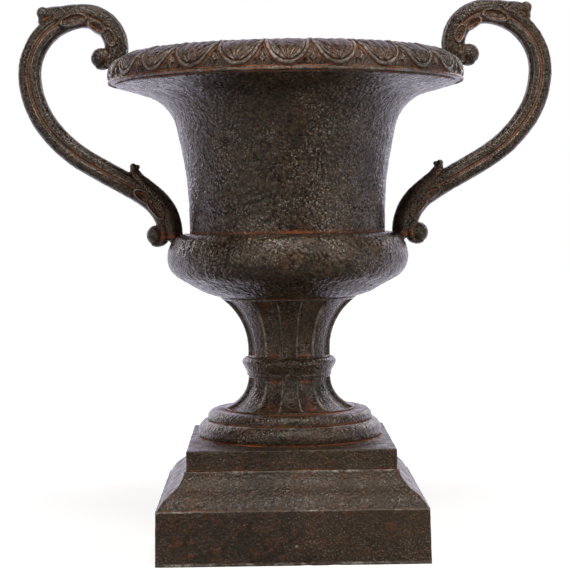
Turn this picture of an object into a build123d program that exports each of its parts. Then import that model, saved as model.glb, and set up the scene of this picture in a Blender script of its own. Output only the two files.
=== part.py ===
from build123d import *
import math
import os

os.makedirs("parts", exist_ok=True)

# Cast-iron campana urn on a square plinth, all sizes in millimetres
# Z is the axis of the urn, the ground is z = 0, and the two handles lie along X

# Fluted stem with its knop; the radii below and above grow outwards from the stem
stem_radius = 38.3
stem_foot_flare = 22.7
stem_foot_edge = 1.5
lower_stem_height = 31.7
knop_bulge = 5.0
knop_shoulder = 1.2
knop_height = 16.8
knop_neck_height = 2.9
upper_stem_height = 57.0
upper_stem_waist = 7.0
stem_head_flare = 25.0
stem_head_edge = 1.4
flute_count = 8
flute_depth = 3.0
flute_margin = 2.4

# Foot rings
foot_upper_ledge = 16.6
foot_upper_height = 9.7
foot_upper_seat_share = 0.985
foot_upper_top_share = 0.89
foot_lower_ledge = 8.0
foot_lower_height = 15.2
foot_lower_seat_share = 0.985
foot_lower_top_share = 0.925

# Step block with its weathered top
step_ledge = 8.0
step_height = 18.1
step_weathering = 2.2
step_wall = 9.0
step_edge_radius = 1.2

# Plinth: square block, cyma moulding and a narrow fillet
fillet_ledge = 1.9
fillet_height = 1.8
moulding_projection = 23.3
moulding_height = 29.1
moulding_middle_share = 0.46
moulding_rise_share = 0.50
moulding_start = (0.30, -1.0)
block_ledge = 1.2
block_height = 48.4
block_draft = 1.0
plinth_wall = 7.0
plinth_edge_radius = 1.6

# Bell, from the bowl up to the seat of the rim
bell_radius = 91.0
bell_height = 142.3
bell_flare = 67.0
bell_cove_share = 0.582
bell_wall = 6.0
bell_lip_thickness = 4.8

# Bowl
bowl_overhang = 21.3
bowl_shoulder_width = 6.0
bowl_height = 58.7
bowl_wall = 7.0
drain_radius = 3.5
drain_count = 3

# Rim with egg-and-dart ornament, from the outside in
rim_height = 24.5
egg_relief = 2.4
rim_skirt = 3.7
rim_skirt_wall = 4.9
rim_wall = 6.0
rim_channel = 13.0
rim_slant_share = 0.69
rim_lip = 8.0
rim_crown_set_back = 21.6
rim_bead = 1.6
rim_edge = 1.0
egg_count = 24
egg_width_share = 0.95
egg_drop_share = 0.98
egg_inner_share = 0.78
egg_recess = 0.9
dart_width = 8.6
dart_height = 14.0
dart_relief = 1.6

# Handles
scroll_radius = 34.1
scroll_inset = 8.0
scroll_rise = 2.2
scroll_end_drop = 13.0
scroll_end_shift = 2.0
handle_belly = 12.2
bar_width = 21.2
bar_depth = 17.0
foot_inset = 2.8
foot_drop = 5.7
volute_radius = 10.0
top_volute_set_out = 3.9
top_volute_drop = 4.2
foot_volute_set_out = 10.2
foot_volute_drop = 0.7
leaf_tip_radius = 5.0
leaf_lobe_depth = 9.6
thorn_tip_radius = 2.2

# Central tie rod
rod_radius = 6.0
rod_nut_flats = 19.0
rod_nut_height = 10.8
rod_washer_radius = 12.0
rod_washer_thickness = 3.0
rod_end = 5.0
bridge_bearing = 12.0
bridge_width = 32.0
bridge_thickness = 8.0
core_radius = 36.0

# Screws and bolts
bolt_radius = 3.0
bolt_flats = 10.0
bolt_head_height = 4.0
bolt_nut_height = 5.0
bolt_end = 3.0
washer_radius = 6.2
washer_thickness = 1.6
washer_margin = 1.3
bell_bolt_count = 6
rim_screw_count = 8
rim_screw_radius = 2.5
rim_screw_head_radius = 5.0
rim_screw_margin = 1.6
rim_screw_depth = 7.0
handle_screw_depth = 11.0
spot_face_margin = 1.0
spot_face_bite = 0.7

# Fits shared by every joint
bore_radius = 20.0
register_radius = 27.0
register_height = 3.0
fit_clearance = 0.3
thread_clearance = 0.1
seat_gap = 0.3
cut_overrun = 1.0

# Levels of the joints, from the ground up
block_top = block_height
moulding_top = block_top + moulding_height
plinth_top = moulding_top + fillet_height
step_edge = plinth_top + step_height
step_top = step_edge + step_weathering
foot_lower_top = step_top + foot_lower_height
foot_upper_top = foot_lower_top + foot_upper_height
lower_stem_top = foot_upper_top + lower_stem_height
knop_top = lower_stem_top + knop_height
upper_stem_top = knop_top + upper_stem_height
bowl_top = upper_stem_top + bowl_height
rim_seat = bowl_top + bell_height
rim_top = rim_seat + rim_height
rim_bottom = rim_seat - rim_skirt

# Widths and radii that follow from the sizes above
stem_foot_radius = stem_radius + stem_foot_flare
stem_head_radius = stem_radius + stem_head_flare
knop_radius = stem_radius + knop_bulge
knop_neck_radius = stem_radius + knop_shoulder
foot_upper_radius = stem_foot_radius + foot_upper_ledge
foot_lower_radius = foot_upper_radius + foot_lower_ledge
step_width = 2 * (foot_lower_radius + step_ledge)
moulding_top_width = step_width + 2 * fillet_ledge
moulding_foot_width = moulding_top_width + 2 * moulding_projection
block_top_width = moulding_foot_width + 2 * block_ledge
plinth_width = block_top_width + 2 * block_draft
bridge_length = 2 * (core_radius + bridge_bearing)
bowl_mouth_radius = bell_radius - bell_wall - 2 * (washer_radius + washer_margin)
bowl_shoulder_radius = bell_radius + bowl_shoulder_width
bowl_radius = bell_radius + bowl_overhang
bell_lip_radius = bell_radius + bell_flare
rim_ground_radius = bell_lip_radius + fit_clearance + rim_skirt_wall
rim_radius = rim_ground_radius + egg_relief
rim_crown_radius = rim_radius - rim_crown_set_back
channel_outer = rim_ground_radius - rim_wall
channel_inner = channel_outer - rim_channel
channel_slant = rim_channel * rim_slant_share
channel_top = rim_top - rim_lip
rim_inner_wall = 2 * (rim_screw_head_radius + rim_screw_margin)
rim_mouth_radius = channel_inner - rim_inner_wall
rim_screw_circle = rim_mouth_radius + rim_inner_wall / 2
bell_bolt_circle = bowl_mouth_radius + washer_radius + washer_margin
spot_face_depth = washer_thickness + bolt_head_height + spot_face_margin
pitch = 360 / egg_count
egg_width = egg_width_share * 2 * math.pi * rim_crown_radius / egg_count
half_width = bar_width / 2
half_depth = bar_depth / 2
diagonal = math.sqrt(0.5)


def between(low, high, share):
    return low + (high - low) * share


bell_cove_radius = between(bell_radius, bell_lip_radius, bell_cove_share)


def half_plane(angle):
    """Upright plane through the axis, turned by an angle from the XZ plane"""
    turn = math.radians(angle)
    return Plane(
        origin=(0, 0, 0),
        x_dir=(math.cos(turn), math.sin(turn), 0),
        z_dir=(math.sin(turn), -math.cos(turn), 0),
    )


def round_bar(plane, radius, height, mode=Mode.ADD):
    with BuildSketch(plane) as end:
        Circle(radius)
    extrude(end.sketch, amount=height, mode=mode)


def hexagon_bar(plane, flats, height):
    with BuildSketch(plane) as end:
        RegularPolygon(radius=flats / 2, side_count=6, major_radius=False)
    extrude(end.sketch, amount=height)


def ring(plane, radius, hole, thickness):
    with BuildSketch(plane) as end:
        Circle(radius)
        Circle(hole, mode=Mode.SUBTRACT)
    extrude(end.sketch, amount=thickness)


def cut_disc(bottom, top, radius):
    """Take a round hole or recess about the axis out of the piece"""
    round_bar(Plane.XY.offset(bottom), radius, top - bottom, mode=Mode.SUBTRACT)


def add_register(level):
    """Raised ring that centres the next casting"""
    round_bar(Plane.XY.offset(level), register_radius, register_height)


def cut_register(level):
    """Recess that drops over the ring of the casting below"""
    cut_disc(level, level + register_height + fit_clearance, register_radius + fit_clearance)


def cut_bore(bottom, top):
    cut_disc(bottom - cut_overrun, top + register_height + cut_overrun, bore_radius)


# Plinth: the same outline run along X and along Y, crossed for mitred corners
def plinth_line():
    half_block = plinth_width / 2
    half_foot = moulding_foot_width / 2
    half_top = moulding_top_width / 2
    middle = (
        between(half_top, half_foot, moulding_middle_share),
        between(block_top, moulding_top, moulding_rise_share),
    )
    Polyline((0, 0), (half_block, 0), (block_top_width / 2, block_top), (half_foot, block_top))
    upper = TangentArc((half_top, moulding_top), middle, tangent=moulding_start)
    TangentArc(middle, (half_foot, block_top), tangent=upper % 1)
    Polyline((half_top, moulding_top), (half_top, plinth_top), (0, plinth_top))


def core_line():
    lower = block_top_width / 2 - plinth_wall
    upper = moulding_top_width / 2 - plinth_wall
    Polyline(
        (0, -cut_overrun),
        (lower, -cut_overrun),
        (lower, block_top - plinth_wall),
        (upper, plinth_top - plinth_wall),
        (0, plinth_top - plinth_wall),
    )


def crossed_run(line):
    for plane, mode in ((Plane.XZ, Mode.ADD), (Plane.YZ, Mode.INTERSECT)):
        with BuildSketch(plane) as end:
            with BuildLine():
                line()
                mirror(about=Plane.YZ)
            make_face()
        extrude(end.sketch, amount=plinth_width, both=True, mode=mode)


with BuildPart() as plinth_core:
    crossed_run(core_line)

with BuildPart() as plinth:
    crossed_run(plinth_line)
    upright = plinth.edges().filter_by(lambda e: abs((e % 0.5).Z) > 0.99 and e.center().Z < block_top)
    fillet(upright, radius=plinth_edge_radius)
    add(plinth_core.part, mode=Mode.SUBTRACT)
    with BuildSketch(Plane.XY.offset(plinth_top)):
        Rectangle(step_width - 2 * step_wall, step_width - 2 * step_wall)
        offset(amount=-fit_clearance)
    extrude(amount=register_height)
    cut_disc(plinth_top - plinth_wall - cut_overrun, plinth_top + register_height + cut_overrun, core_radius)
plinth.part.label = "plinth"
export_step(plinth.part, "parts/plinth.step")

# Step block: open below, its top sloping up to the seat of the foot rings
foot_seat_radius = foot_lower_radius * foot_lower_seat_share
with BuildPart() as step_block:
    with BuildSketch(Plane.XY.offset(plinth_top)):
        Rectangle(step_width, step_width)
    extrude(amount=step_height)
    fillet(step_block.edges().filter_by(Axis.Z), radius=step_edge_radius)
    with BuildSketch(Plane.XZ):
        with BuildLine():
            Polyline(
                (0, step_edge - cut_overrun),
                (step_width / 2 - step_edge_radius, step_edge - cut_overrun),
                (step_width / 2 - step_edge_radius, step_edge),
                (foot_seat_radius, step_top),
                (0, step_top),
                close=True,
            )
        make_face()
    revolve(axis=Axis.Z)
    with BuildSketch(Plane.XY.offset(plinth_top)):
        Rectangle(step_width - 2 * step_wall, step_width - 2 * step_wall)
    extrude(amount=step_height - step_wall, mode=Mode.SUBTRACT)
    add_register(step_top)
    cut_bore(plinth_top, step_top)
step_block.part.label = "step_block"
export_step(step_block.part, "parts/step_block.step")

# Foot rings: two rounded mouldings
with BuildPart() as foot_ring_lower:
    crown = foot_lower_radius * foot_lower_top_share
    with BuildSketch(Plane.XZ):
        with BuildLine():
            TangentArc((foot_seat_radius, step_top), (crown, foot_lower_top), tangent=(0.5, 1))
            Polyline((crown, foot_lower_top), (0, foot_lower_top), (0, step_top), (foot_seat_radius, step_top))
        make_face()
    revolve(axis=Axis.Z)
    cut_register(step_top)
    add_register(foot_lower_top)
    cut_bore(step_top, foot_lower_top)
foot_ring_lower.part.label = "foot_ring_lower"
export_step(foot_ring_lower.part, "parts/foot_ring_lower.step")

with BuildPart() as foot_ring_upper:
    seat = foot_upper_radius * foot_upper_seat_share
    crown = foot_upper_radius * foot_upper_top_share
    with BuildSketch(Plane.XZ):
        with BuildLine():
            TangentArc((seat, foot_lower_top), (crown, foot_upper_top), tangent=(0.4, 1))
            Polyline((crown, foot_upper_top), (0, foot_upper_top), (0, foot_lower_top), (seat, foot_lower_top))
        make_face()
    revolve(axis=Axis.Z)
    cut_register(foot_lower_top)
    add_register(foot_upper_top)
    cut_bore(foot_lower_top, foot_upper_top)
foot_ring_upper.part.label = "foot_ring_upper"
export_step(foot_ring_upper.part, "parts/foot_ring_upper.step")


# Stem: the outlines of its two flared castings, drawn deeper by an inset for the flutes
def lower_stem_line(inset):
    foot_edge = foot_upper_top + stem_foot_edge
    flare = TangentArc(
        (stem_radius - inset, lower_stem_top - cut_overrun),
        (stem_foot_radius - inset, foot_edge),
        tangent=(0, -1),
    )
    return flare


def upper_stem_line(inset):
    head_edge = upper_stem_top - stem_head_edge
    flare = TangentArc(
        (stem_radius - inset, knop_top + upper_stem_waist),
        (stem_head_radius - inset, head_edge),
        tangent=(0, 1),
    )
    return flare


def cut_flutes(line, low, high, waist, far):
    """Flat-bottomed channels, as wide as the ribs between them"""
    flute_angle = 180 / flute_count
    for number in range(flute_count):
        start = number * 360 / flute_count + flute_angle / 2
        with BuildSketch(half_plane(start)) as channel:
            with BuildLine():
                line(flute_depth)
                Line((stem_radius - flute_depth, waist[0]), (stem_radius - flute_depth, waist[1]))
                Polyline(
                    (stem_radius - flute_depth, waist[1]),
                    (far, waist[1]),
                    (far, waist[2]),
                    (far - flute_depth, waist[2]),
                )
            make_face()
            with Locations((0, (low + high) / 2)):
                Rectangle(2 * far, high - low, mode=Mode.INTERSECT)
        revolve(channel.sketch, axis=Axis.Z, revolution_arc=flute_angle, mode=Mode.SUBTRACT)


with BuildPart() as lower_stem:
    foot_edge = foot_upper_top + stem_foot_edge
    with BuildSketch(Plane.XZ):
        with BuildLine():
            lower_stem_line(0)
            Polyline(
                (stem_radius, lower_stem_top - cut_overrun),
                (stem_radius, lower_stem_top),
                (0, lower_stem_top),
                (0, foot_upper_top),
                (stem_foot_radius, foot_upper_top),
                (stem_foot_radius, foot_edge),
            )
        make_face()
    revolve(axis=Axis.Z)
    cut_flutes(
        lower_stem_line,
        foot_edge,
        lower_stem_top - flute_margin,
        (lower_stem_top - cut_overrun, lower_stem_top, foot_edge),
        stem_foot_radius,
    )
    cut_register(foot_upper_top)
    add_register(lower_stem_top)
    cut_bore(foot_upper_top, lower_stem_top)
lower_stem.part.label = "lower_stem"
export_step(lower_stem.part, "parts/lower_stem.step")

with BuildPart() as knop:
    neck_top = lower_stem_top + knop_neck_height
    with BuildSketch(Plane.XZ):
        with BuildLine():
            Polyline((0, lower_stem_top), (knop_neck_radius, lower_stem_top), (knop_neck_radius, neck_top))
            ThreePointArc(
                (knop_neck_radius, neck_top),
                (knop_radius, between(neck_top, knop_top, 0.45)),
                (knop_neck_radius, knop_top),
            )
            Polyline((knop_neck_radius, knop_top), (0, knop_top), (0, lower_stem_top))
        make_face()
    revolve(axis=Axis.Z)
    cut_register(lower_stem_top)
    add_register(knop_top)
    cut_bore(lower_stem_top, knop_top)
knop.part.label = "knop"
export_step(knop.part, "parts/knop.step")

with BuildPart() as upper_stem:
    head_edge = upper_stem_top - stem_head_edge
    with BuildSketch(Plane.XZ):
        with BuildLine():
            upper_stem_line(0)
            Polyline(
                (stem_radius, knop_top + upper_stem_waist),
                (stem_radius, knop_top),
                (0, knop_top),
                (0, upper_stem_top),
                (stem_head_radius, upper_stem_top),
                (stem_head_radius, head_edge),
            )
        make_face()
    revolve(axis=Axis.Z)
    cut_flutes(
        upper_stem_line,
        knop_top + flute_margin,
        head_edge - flute_margin,
        (knop_top + upper_stem_waist, knop_top, head_edge),
        stem_head_radius,
    )
    cut_register(knop_top)
    add_register(upper_stem_top)
    cut_bore(knop_top, upper_stem_top)
upper_stem.part.label = "upper_stem"
export_step(upper_stem.part, "parts/upper_stem.step")

# Bowl: one line from the mouth over the shoulder and down to the seat on the stem
bowl_outline_shares = [(0.681, 0.903), (1.0, 0.647), (0.766, 0.290), (0.373, 0.107), (0.0, 0.0)]


def bowl_point(share):
    if share[1] > bowl_outline_shares[1][1]:
        radius = between(bowl_shoulder_radius, bowl_radius, share[0])
    else:
        radius = between(stem_head_radius, bowl_radius, share[0])
    return (radius, between(upper_stem_top, bowl_top, share[1]))


def bowl_line():
    start = (bowl_shoulder_radius, bowl_top)
    direction = (1, 0)
    for share in bowl_outline_shares:
        curve = TangentArc(start, bowl_point(share), tangent=direction)
        start = bowl_point(share)
        direction = curve % 1


foot_contact = bowl_point(bowl_outline_shares[0])


def foot_screw_plane(side, depth):
    """Plane square to a handle's foot screw, a depth outside the bowl's shoulder"""
    reach = depth * diagonal
    return Plane(
        origin=(side * (foot_contact[0] + reach), 0, foot_contact[1] + reach),
        x_dir=(0, 1, 0),
        z_dir=(side, 0, 1),
    )


with BuildPart() as bowl:
    with BuildSketch(Plane.XZ):
        with BuildLine():
            Line((bowl_mouth_radius, bowl_top), (bowl_shoulder_radius, bowl_top))
            bowl_line()
            Line((stem_head_radius, upper_stem_top), (0, upper_stem_top))
            offset(amount=bowl_wall, side=Side.RIGHT, closed=True)
        make_face()
    revolve(axis=Axis.Z)
    with BuildSketch(Plane.XY.offset(bowl_top - bowl_wall)):
        with PolarLocations(bell_bolt_circle, bell_bolt_count, start_angle=180 / bell_bolt_count):
            Circle(bolt_radius + fit_clearance)
    extrude(amount=bowl_wall, mode=Mode.SUBTRACT)
    with BuildSketch(Plane.XY.offset(upper_stem_top)):
        with PolarLocations((rod_washer_radius + bore_radius) / 2, drain_count, start_angle=90):
            Circle(drain_radius)
        Circle(rod_radius + fit_clearance)
    extrude(amount=bowl_wall, mode=Mode.SUBTRACT)
    cut_register(upper_stem_top)
    for side in (-1, 1):
        inner = spot_face_bite - bowl_wall
        round_bar(foot_screw_plane(side, inner - spot_face_depth), washer_radius + spot_face_margin,
                  spot_face_depth, mode=Mode.SUBTRACT)
        round_bar(foot_screw_plane(side, inner - cut_overrun), bolt_radius + fit_clearance,
                  bowl_wall + 2 * cut_overrun, mode=Mode.SUBTRACT)
bowl.part.label = "bowl"
export_step(bowl.part, "parts/bowl.step")

# Bell: straight foot, long curve outwards and a deep cove under the lip
def rim_screw_spots():
    return PolarLocations(rim_screw_circle, rim_screw_count, start_angle=180 / rim_screw_count)


bell_outline_shares = [(0.005, 0.150), (0.174, 0.557), (0.269, 0.684)]
cove_drop_share = 0.0892


def bell_point(share):
    return (
        between(bell_radius, bell_cove_radius, share[0]),
        between(bowl_top, rim_seat, share[1]),
    )


cove_end = (bell_cove_radius, rim_seat - bell_height * cove_drop_share)
lip_edge = (bell_lip_radius, rim_seat - bell_lip_thickness)


def bell_line():
    start = (bell_radius, bowl_top)
    direction = (0, 1)
    for share in bell_outline_shares:
        curve = TangentArc(start, bell_point(share), tangent=direction)
        start = bell_point(share)
        direction = curve % 1
    TangentArc(start, cove_end, tangent=direction)


with BuildPart() as bell:
    with BuildSketch(Plane.XZ):
        with BuildLine() as bell_wall_line:
            bell_line()
            offset(amount=bell_wall, side=Side.LEFT, closed=True)
        make_face()
        with BuildLine():
            Polyline(
                cove_end,
                lip_edge,
                (bell_lip_radius, rim_seat),
                (rim_mouth_radius, rim_seat),
                (cove_end[0] - bell_wall / 2, cove_end[1] + bell_wall),
                close=True,
            )
        make_face()
        with Locations(((bowl_mouth_radius + bell_radius) / 2, bowl_top + bell_wall / 2)):
            Rectangle(bell_radius - bowl_mouth_radius, bell_wall)
    revolve(axis=Axis.Z)
    with BuildSketch(Plane.XY.offset(bowl_top)):
        with PolarLocations(bell_bolt_circle, bell_bolt_count, start_angle=180 / bell_bolt_count):
            Circle(bolt_radius + fit_clearance)
    extrude(amount=bell_wall, mode=Mode.SUBTRACT)
    with BuildSketch(Plane.XY.offset(rim_seat - rim_screw_depth)):
        with rim_screw_spots():
            Circle(rim_screw_radius + thread_clearance)
    extrude(amount=rim_screw_depth, mode=Mode.SUBTRACT)
bell.part.label = "bell"
export_step(bell.part, "parts/bell.step")


# Rim: hollow ring with an ovolo face; the eggs and darts stand up from its ground
def ovolo_line(inset):
    """The ovolo from its foot to the crown, drawn deeper by an inset"""
    foot = (rim_radius - inset, between(rim_seat, rim_top, 0.2))
    middle = (
        between(rim_crown_radius, rim_radius, 0.66) - inset * diagonal,
        between(rim_seat, rim_top, 0.74) - inset * diagonal,
    )
    lower = TangentArc(foot, middle, tangent=(0, 1))
    TangentArc(middle, (rim_crown_radius - inset, rim_top), tangent=lower % 1)
    return foot


def top_screw_plane(side, depth):
    """Plane square to a handle's top screw, a depth outside its spot face in the channel"""
    reach = (depth + spot_face_bite) * diagonal
    return Plane(
        origin=(
            side * (channel_outer - channel_slant / 2 + reach),
            0,
            channel_top - channel_slant / 2 + reach,
        ),
        x_dir=(0, 1, 0),
        z_dir=(side, 0, 1),
    )


def relief_sector(height):
    """One pitch of the layer between the ground of the ovolo and the top of its ornament"""
    with BuildSketch(half_plane(-pitch / 2)) as layer:
        with BuildLine():
            outer_foot = ovolo_line(egg_relief - height)
            inner_foot = ovolo_line(egg_relief + cut_overrun)
            Polyline(outer_foot, (outer_foot[0], rim_seat), (inner_foot[0], rim_seat), inner_foot)
            Line((rim_crown_radius - egg_relief + height, rim_top),
                 (rim_crown_radius - egg_relief - cut_overrun, rim_top))
        make_face()
    revolve(layer.sketch, axis=Axis.Z, revolution_arc=pitch)


def egg_prism(share):
    """Prism along the radius with the outline of an egg, at a share of its full size"""
    with BuildSketch(Plane.YZ.offset(rim_mouth_radius)) as outline:
        with Locations((0, rim_top)):
            Ellipse(share * egg_width / 2, share * egg_drop_share * rim_height)
    return outline.sketch


with BuildPart() as egg_dish:
    relief_sector(egg_relief + egg_recess)
    extrude(egg_prism(egg_inner_share), amount=rim_radius, mode=Mode.INTERSECT)

with BuildPart() as egg_floor:
    relief_sector(egg_relief - egg_recess)

with BuildPart() as egg:
    relief_sector(egg_relief)
    extrude(egg_prism(1), amount=rim_radius, mode=Mode.INTERSECT)
    add(egg_dish.part - egg_floor.part, mode=Mode.SUBTRACT)

with BuildPart() as dart:
    relief_sector(dart_relief)
    with BuildSketch(Plane.YZ.offset(rim_mouth_radius)):
        with BuildLine():
            heel = (0, rim_seat + rim_bead)
            flank = (dart_width / 2, heel[1] + dart_height / 2)
            tip = (0, heel[1] + dart_height)
            Polyline(heel, flank, tip)
            mirror(about=Plane.YZ)
        make_face()
    extrude(amount=rim_radius, mode=Mode.INTERSECT)

with BuildPart() as rim:
    skirt_inner = bell_lip_radius + fit_clearance
    with BuildSketch(Plane.XZ):
        with BuildLine():
            foot = ovolo_line(egg_relief)
            bead_top = rim_bottom + 2 * rim_bead
            ThreePointArc(
                (rim_ground_radius, bead_top),
                (rim_ground_radius + rim_bead, rim_bottom + rim_bead),
                (rim_ground_radius, rim_bottom),
            )
            Line(foot, (rim_ground_radius, bead_top))
            Polyline(
                (rim_ground_radius, rim_bottom),
                (skirt_inner, rim_bottom),
                (skirt_inner, rim_seat),
                (rim_mouth_radius, rim_seat),
                (rim_mouth_radius, rim_top - rim_edge),
                (rim_mouth_radius + rim_edge, rim_top),
                (rim_crown_radius - egg_relief, rim_top),
            )
        make_face()
        with BuildLine():
            Polyline(
                (channel_inner, rim_seat),
                (channel_outer, rim_seat),
                (channel_outer, channel_top - channel_slant),
                (channel_outer - channel_slant, channel_top),
                (channel_inner, channel_top),
                close=True,
            )
        make_face(mode=Mode.SUBTRACT)
    revolve(axis=Axis.Z)
    with PolarLocations(0, egg_count):
        add([egg.part, dart.part.rotate(Axis.Z, pitch / 2)], clean=False)
    with BuildSketch(Plane.XY.offset(rim_seat)):
        with rim_screw_spots():
            Circle(rim_screw_radius + fit_clearance)
    extrude(amount=rim_height, mode=Mode.SUBTRACT)
    with Locations(Plane.XY.offset(rim_top)):
        with rim_screw_spots():
            Cone(
                rim_screw_radius + fit_clearance,
                rim_screw_head_radius + fit_clearance,
                rim_screw_head_radius - rim_screw_radius,
                align=(Align.CENTER, Align.CENTER, Align.MAX),
                mode=Mode.SUBTRACT,
            )
    for side in (-1, 1):
        round_bar(top_screw_plane(side, -spot_face_depth), washer_radius + spot_face_margin,
                  spot_face_depth, mode=Mode.SUBTRACT)
        round_bar(top_screw_plane(side, -cut_overrun), bolt_radius + fit_clearance,
                  3 * rim_wall, mode=Mode.SUBTRACT)
rim.part.label = "rim"
export_step(rim.part, "parts/rim.step")

# Handle: a reeded bar on one flowing line, from the rim over the scroll and down to the bowl
scroll_centre = (rim_radius - scroll_inset + scroll_radius, rim_top + scroll_rise)
reach_x = scroll_centre[0] + scroll_radius + handle_belly
foot_point = (bowl_radius - foot_inset, bowl_top - foot_drop)
handle_line_shares = [(1.0, 0.879), (0.879, 0.618), (0.590, 0.422), (0.344, 0.319), (0.164, 0.238), (0.035, 0.126)]
scroll_turn_share = (0.757, 0.672)


def handle_points():
    points = [
        (scroll_centre[0] - scroll_radius, scroll_centre[1]),
        (scroll_centre[0], scroll_centre[1] + scroll_radius),
        (
            scroll_centre[0] + scroll_radius * scroll_turn_share[0],
            scroll_centre[1] + scroll_radius * scroll_turn_share[1],
        ),
    ]
    for along, up in handle_line_shares:
        points.append((between(foot_point[0], reach_x, along), between(foot_point[1], scroll_centre[1], up)))
    points.append(foot_point)
    return points


def handle_line():
    start = (scroll_centre[0] - scroll_radius + scroll_end_shift, scroll_centre[1] - scroll_end_drop)
    direction = (-0.15, 1)
    for point in handle_points():
        curve = TangentArc(start, point, tangent=direction)
        start = point
        direction = curve % 1


def bar_plane(line, station, across=0):
    """Plane square to the bar at a share of its length; across is in half widths, outwards"""
    forward = line % station
    outward = Vector(-forward.Z, 0, forward.X)
    return Plane(
        origin=(line @ station) + outward * (across * half_width),
        x_dir=outward,
        z_dir=forward,
    )


def bar_side():
    """Outer reed, sunk line, inner reed and a thin lip on one face of the bar"""
    ThreePointArc((half_width, 0), (half_width * 0.60, half_depth * 0.84), (half_width * 0.11, half_depth * 0.80))
    Polyline(
        (half_width * 0.11, half_depth * 0.80),
        (half_width * 0.02, half_depth * 0.60),
        (-half_width * 0.07, half_depth * 0.80),
    )
    ThreePointArc(
        (-half_width * 0.07, half_depth * 0.80),
        (-half_width * 0.40, half_depth),
        (-half_width * 0.72, half_depth * 0.76),
    )
    ThreePointArc(
        (-half_width * 0.72, half_depth * 0.76),
        (-half_width * 0.94, half_depth * 0.45),
        (-half_width, 0),
    )


# Sections of the leaf sheaths: station on the bar, place across it, half width, half depth
top_leaf_shares = [(0.045, 0.20, 0.84, 1.02), (0.12, 0.20, 0.85, 1.16), (0.19, 0.28, 0.76, 1.16), (0.235, 0.62, 0.50, 0.92)]
foot_leaf_shares = [(0.985, -0.20, 0.95, 1.02), (0.93, -0.28, 0.98, 1.16), (0.87, -0.35, 0.94, 1.16), (0.825, -0.85, 0.55, 0.92)]
top_tip_share = (0.264, 1.60)
thorn_tip_share = (0.797, -1.70)
# Lobes of the leaves on the faces of the bar: station, place across, half length, half width
lobe_shares = [(0.105, -0.42, 1.45, 0.44), (0.195, -0.12, 1.35, 0.50), (0.855, 0.08, 1.30, 0.50), (0.905, 0.48, 1.35, 0.40)]


def leaf_sheath(line, sections, tip, tip_radius):
    outlines = []
    for station, across, wide, deep in sections:
        with BuildSketch(bar_plane(line, station, across)) as outline:
            Ellipse(wide * half_width, deep * half_depth)
        outlines.append(outline.sketch)
    with BuildSketch(bar_plane(line, tip[0], tip[1])) as point:
        Circle(tip_radius)
    outlines.append(point.sketch)
    loft(outlines)


with BuildPart() as handle_right:
    with BuildLine(Plane.XZ) as bar_line:
        handle_line()
    bar = bar_line.wire()
    with BuildSketch(bar_plane(bar, 0)):
        with BuildLine():
            bar_side()
            mirror(about=Plane.XZ)
        make_face()
    sweep(path=bar)
    leaf_sheath(bar, top_leaf_shares, top_tip_share, leaf_tip_radius * 0.8)
    leaf_sheath(bar, foot_leaf_shares, thorn_tip_share, thorn_tip_radius)
    with Locations(bar_plane(bar, top_tip_share[0], top_tip_share[1])):
        Sphere(leaf_tip_radius)
    with Locations(bar_plane(bar, thorn_tip_share[0], thorn_tip_share[1])):
        Sphere(thorn_tip_radius * 1.1)
    for station, across, long, wide in lobe_shares:
        spot = bar_plane(bar, station, across)
        face = Plane(origin=spot.origin, x_dir=spot.z_dir, z_dir=(0, 1, 0))
        with BuildSketch(face):
            Ellipse(long * half_width, wide * half_width)
        extrude(amount=leaf_lobe_depth, both=True)
    top_volute = (rim_radius - scroll_inset + top_volute_set_out + volute_radius,
                  scroll_centre[1] - top_volute_drop)
    foot_volute = (bowl_radius + foot_volute_set_out, bowl_top - foot_volute_drop)
    for spot in (top_volute, foot_volute):
        with Locations((spot[0], 0, spot[1])):
            Sphere(volute_radius)
    # The ends are cut to the faces that they bear on
    with BuildSketch(Plane.XZ):
        with BuildLine():
            foot = ovolo_line(-seat_gap)
            Polyline(foot, (foot[0], rim_bottom), (0, rim_bottom), (0, rim_top + seat_gap),
                     (rim_crown_radius + seat_gap, rim_top + seat_gap), (rim_crown_radius + seat_gap, rim_top))
        make_face()
        with BuildLine():
            bowl_line()
            Polyline((stem_head_radius, upper_stem_top), (0, upper_stem_top), (0, bowl_top),
                     (bowl_shoulder_radius, bowl_top))
            offset(amount=seat_gap, kind=Kind.ARC)
        make_face()
    revolve(axis=Axis.Z, mode=Mode.SUBTRACT)
    round_bar(top_screw_plane(1, 0), bolt_radius + thread_clearance,
              rim_wall + rim_wall / 2 + handle_screw_depth + cut_overrun, mode=Mode.SUBTRACT)
    round_bar(foot_screw_plane(1, -bowl_wall), bolt_radius + thread_clearance,
              bowl_wall + handle_screw_depth + cut_overrun, mode=Mode.SUBTRACT)
handle_right.part.label = "handle_right"
export_step(handle_right.part, "parts/handle_right.step")

with BuildPart() as handle_left:
    mirror(handle_right.part, about=Plane.YZ)
handle_left.part.label = "handle_left"
export_step(handle_left.part, "parts/handle_left.step")

# Tie rod from the bridge under the plinth to the floor of the bowl
bridge_bottom = plinth_top - plinth_wall - bridge_thickness
lower_nut_top = bridge_bottom - rod_washer_thickness
bowl_floor = upper_stem_top + bowl_wall
upper_nut_bottom = bowl_floor + rod_washer_thickness
rod_bottom = lower_nut_top - rod_nut_height - rod_end
rod_top = upper_nut_bottom + rod_nut_height + rod_end

with BuildPart() as tie_rod:
    round_bar(Plane.XY.offset(rod_bottom), rod_radius, rod_top - rod_bottom)
    chamfer(tie_rod.edges(), length=rod_radius / 6)
tie_rod.part.label = "tie_rod"
export_step(tie_rod.part, "parts/tie_rod.step")

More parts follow.
